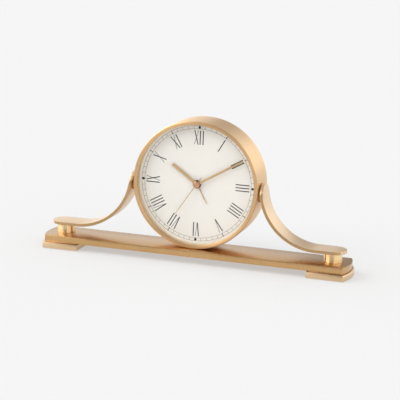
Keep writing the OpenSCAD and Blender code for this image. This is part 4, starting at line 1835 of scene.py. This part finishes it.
@dataclass
class Wardrobe:
    """The finishes, by the record's material slots.

    Attributes:
        axis: A point on the axis of the drum, in metres.
        made: The materials that have been built.
    """

    axis: Point
    made: dict[str, bpy.types.Material] = field(default_factory=dict)

    def build(self) -> None:
        """Builds every finish once."""
        turned = {"grain": Grain.TURNED, "centre": self.axis}
        finishes = {
            # Anodised aluminium, belt brushed: an even satin gold with soft, wide gleams.
            "satin_gold": BrushedMetal(
                "brushed_anodised_base", "#D2A975", "#C89E69", 0.26, Grain.LENGTHWAYS
            ),
            # The same from a paler bar: lighter and a little more matt.
            "foot_gold": BrushedMetal(
                "brushed_anodised_foot", "#E6C8A0", "#DDBD94", 0.30, Grain.LENGTHWAYS
            ),
            # The same, bent to a strap and lacquered: a broad, milky gleam along the sweep.
            "arm_gold": BrushedMetal(
                "brushed_anodised_arm", "#F0D3AA", "#E8C79C", 0.38, Grain.STRAP, film=0.8
            ),
            # The strap's front and back edges: a darker copy of the arm's gold, painted shade that
            # outlines the arm.
            "edge_painted_shade": BrushedMetal(
                "strap_edge_painted_shade", "#CAA67B", "#B79467", 0.34, Grain.LENGTHWAYS
            ),
            # Anodised aluminium, turned: rings of fine lines with gleams right across them.
            "drum_gold": BrushedMetal(
                "turned_anodised_drum", "#F0CD9F", "#E6C08F", 0.36, stretch=0.9, film=0.5, **turned
            ),
            # The lip, faced on the same lathe: the gleams fan out from the dial. Its darker tone
            # is painted shade, a shaded copy of the drum's gold on the faces that look to the
            # front.
            "lip_painted_shade": BrushedMetal(
                "turned_lip_painted_shade", "#E2BA88", "#D6AC7A", 0.36, stretch=0.95, film=0.5, **turned
            ),
            # A turned ring with a matt skin: a soft, pale edge round the dial.
            "ring_gold": BrushedMetal("turned_inner_ring", "#F0DDBE", "#E9D3B0", 0.45, **turned),
            # Brass polished on the lathe: upright bands of light and dark, soft at their edges.
            "polished_gold": BrushedMetal(
                "lathe_polished_brass",
                "#FCE4B8",
                "#F5D8A6",
                0.27,
                Grain.UPRIGHT_TURNED,
                stretch=1.0,
                film=0.0,
                line_mm=0.4,
            ),
            # Plated brass sheet, brushed: warm and even, so that the hands read at a glance.
            "hand_gold": BrushedMetal(
                "satin_plated_brass", "#DCBB88", "#D1AF7B", 0.28, Grain.LENGTHWAYS, line_mm=0.3
            ),
            # Buffed brass: a small, clear mirror in the middle of the dial.
            "cap_gold": PolishedMetal("polished_hub_brass", "#D9AA82", "#CC9A70", 0.1),
            # A darker copy of the hub metal for the hubs under the cap: painted shade for the dark
            # rims round that mirror.
            "painted_shade_hub": PolishedMetal("painted_shade_hub_metal", "#8A6040", "#7C5436", 0.2),
            # Baked enamel: a smooth, warm white, hardly mottled.
            "dial_white": Coating("dial_enamel", "#F9F5EE", "#F6F2EA", 0.45, 20.0, 0.004),
            # Screen printed ink: matt, and a touch warmer than black.
            "ink": Coating("printing_ink", "#1A1716", "#131110", 0.6, 1.0, 0.004),
            "glass": WindowGlass("window_glass", "#FEFEFE"),
            # Moulded rubber: dark and matt, with a fine grip.
            "rubber": Coating("foot_rubber", "#2B2B2C", "#232324", 0.75, 0.8, 0.05),
            # Zinc plated steel: cool grey and slightly cloudy.
            "steel": PlainMetal("zinc_plate", "#B9BCC0", "#A3A6AB", 0.35),
            # Moulded ABS: near black or dark grey, with the fine texture of its mould.
            "black_plastic": Coating("moulded_black", "#232325", "#1B1B1D", 0.45, 0.7, 0.02),
            "housing_plastic": Coating("housing_abs", "#3A3A3D", "#303033", 0.5, 0.7, 0.02),
            "buzzer_black": Coating("buzzer_case", "#26262A", "#1E1E21", 0.5, 0.7, 0.02),
            # Moulded acetal: milky white and waxy.
            "gear_plastic": Coating("gear_acetal", "#E9E5DB", "#DDD8CC", 0.4, 1.5, 0.005),
            # Stamped brass: bright yellow with a few stains.
            "gear_brass": PlainMetal("stamped_brass", "#D8B25A", "#C79E48", 0.3),
            # Sintered magnet: a dull, dark grey.
            "magnet": PlainMetal("sintered_magnet", "#6B6C72", "#54555B", 0.5),
            # Shrunk plastic sleeve: smooth, glossy green.
            "battery_wrap": Coating("battery_sleeve", "#3C6E47", "#345F3E", 0.35, 3.0, 0.004),
            # Nickel plated spring steel: bright and cool.
            "contact_steel": PlainMetal("nickel_contact", "#CDCFD3", "#B9BBC0", 0.25),
            # Solder mask over copper: glossy green, uneven where the tracks run.
            "board_green": Coating("solder_mask", "#2F6B4A", "#285C40", 0.3, 2.0, 0.01),
            # Enamelled copper wire: reddish, with a lively gloss.
            "coil_copper": PlainMetal("enamelled_copper", "#C07A4A", "#A4602F", 0.35),
        }
        self.made = {slot: finish.material() for slot, finish in finishes.items()}

    def dress_nodes(self) -> None:
        """Gives each CAD node that still shows the finish of its slot."""
        slots = {row["node"]: row["material_slot"] for row in frame["record"]["subparts"]}
        for name, node in frame["nodes"].items():
            if node.hide_render:
                continue
            node.data.materials.clear()
            node.data.materials.append(self.made[slots[name]])
            LOG.info("%s keeps its CAD shape in %s", name, slots[name])


def main() -> None:
    """Builds the studio and the clock, piece by piece."""
    logging.basicConfig(level=logging.INFO, format="%(name)s: %(message)s")
    Studio().build()
    drum = Drum()
    wardrobe = Wardrobe(tuple(c * MM for c in drum.axis_point()))
    wardrobe.build()
    made = wardrobe.made
    Stand().build(made["satin_gold"], made["foot_gold"])
    Pillars().build(made["polished_gold"])
    Arms().build(made["arm_gold"], made["edge_painted_shade"])
    drum.build(made["drum_gold"], made["lip_painted_shade"], made["ring_gold"], made["glass"])
    Dial().build(made["dial_white"], made["ink"])
    Hands().build(made["hand_gold"], made["cap_gold"], made["painted_shade_hub"])
    Fittings().build(made)
    wardrobe.dress_nodes()


if __name__ == "__main__":
    main()
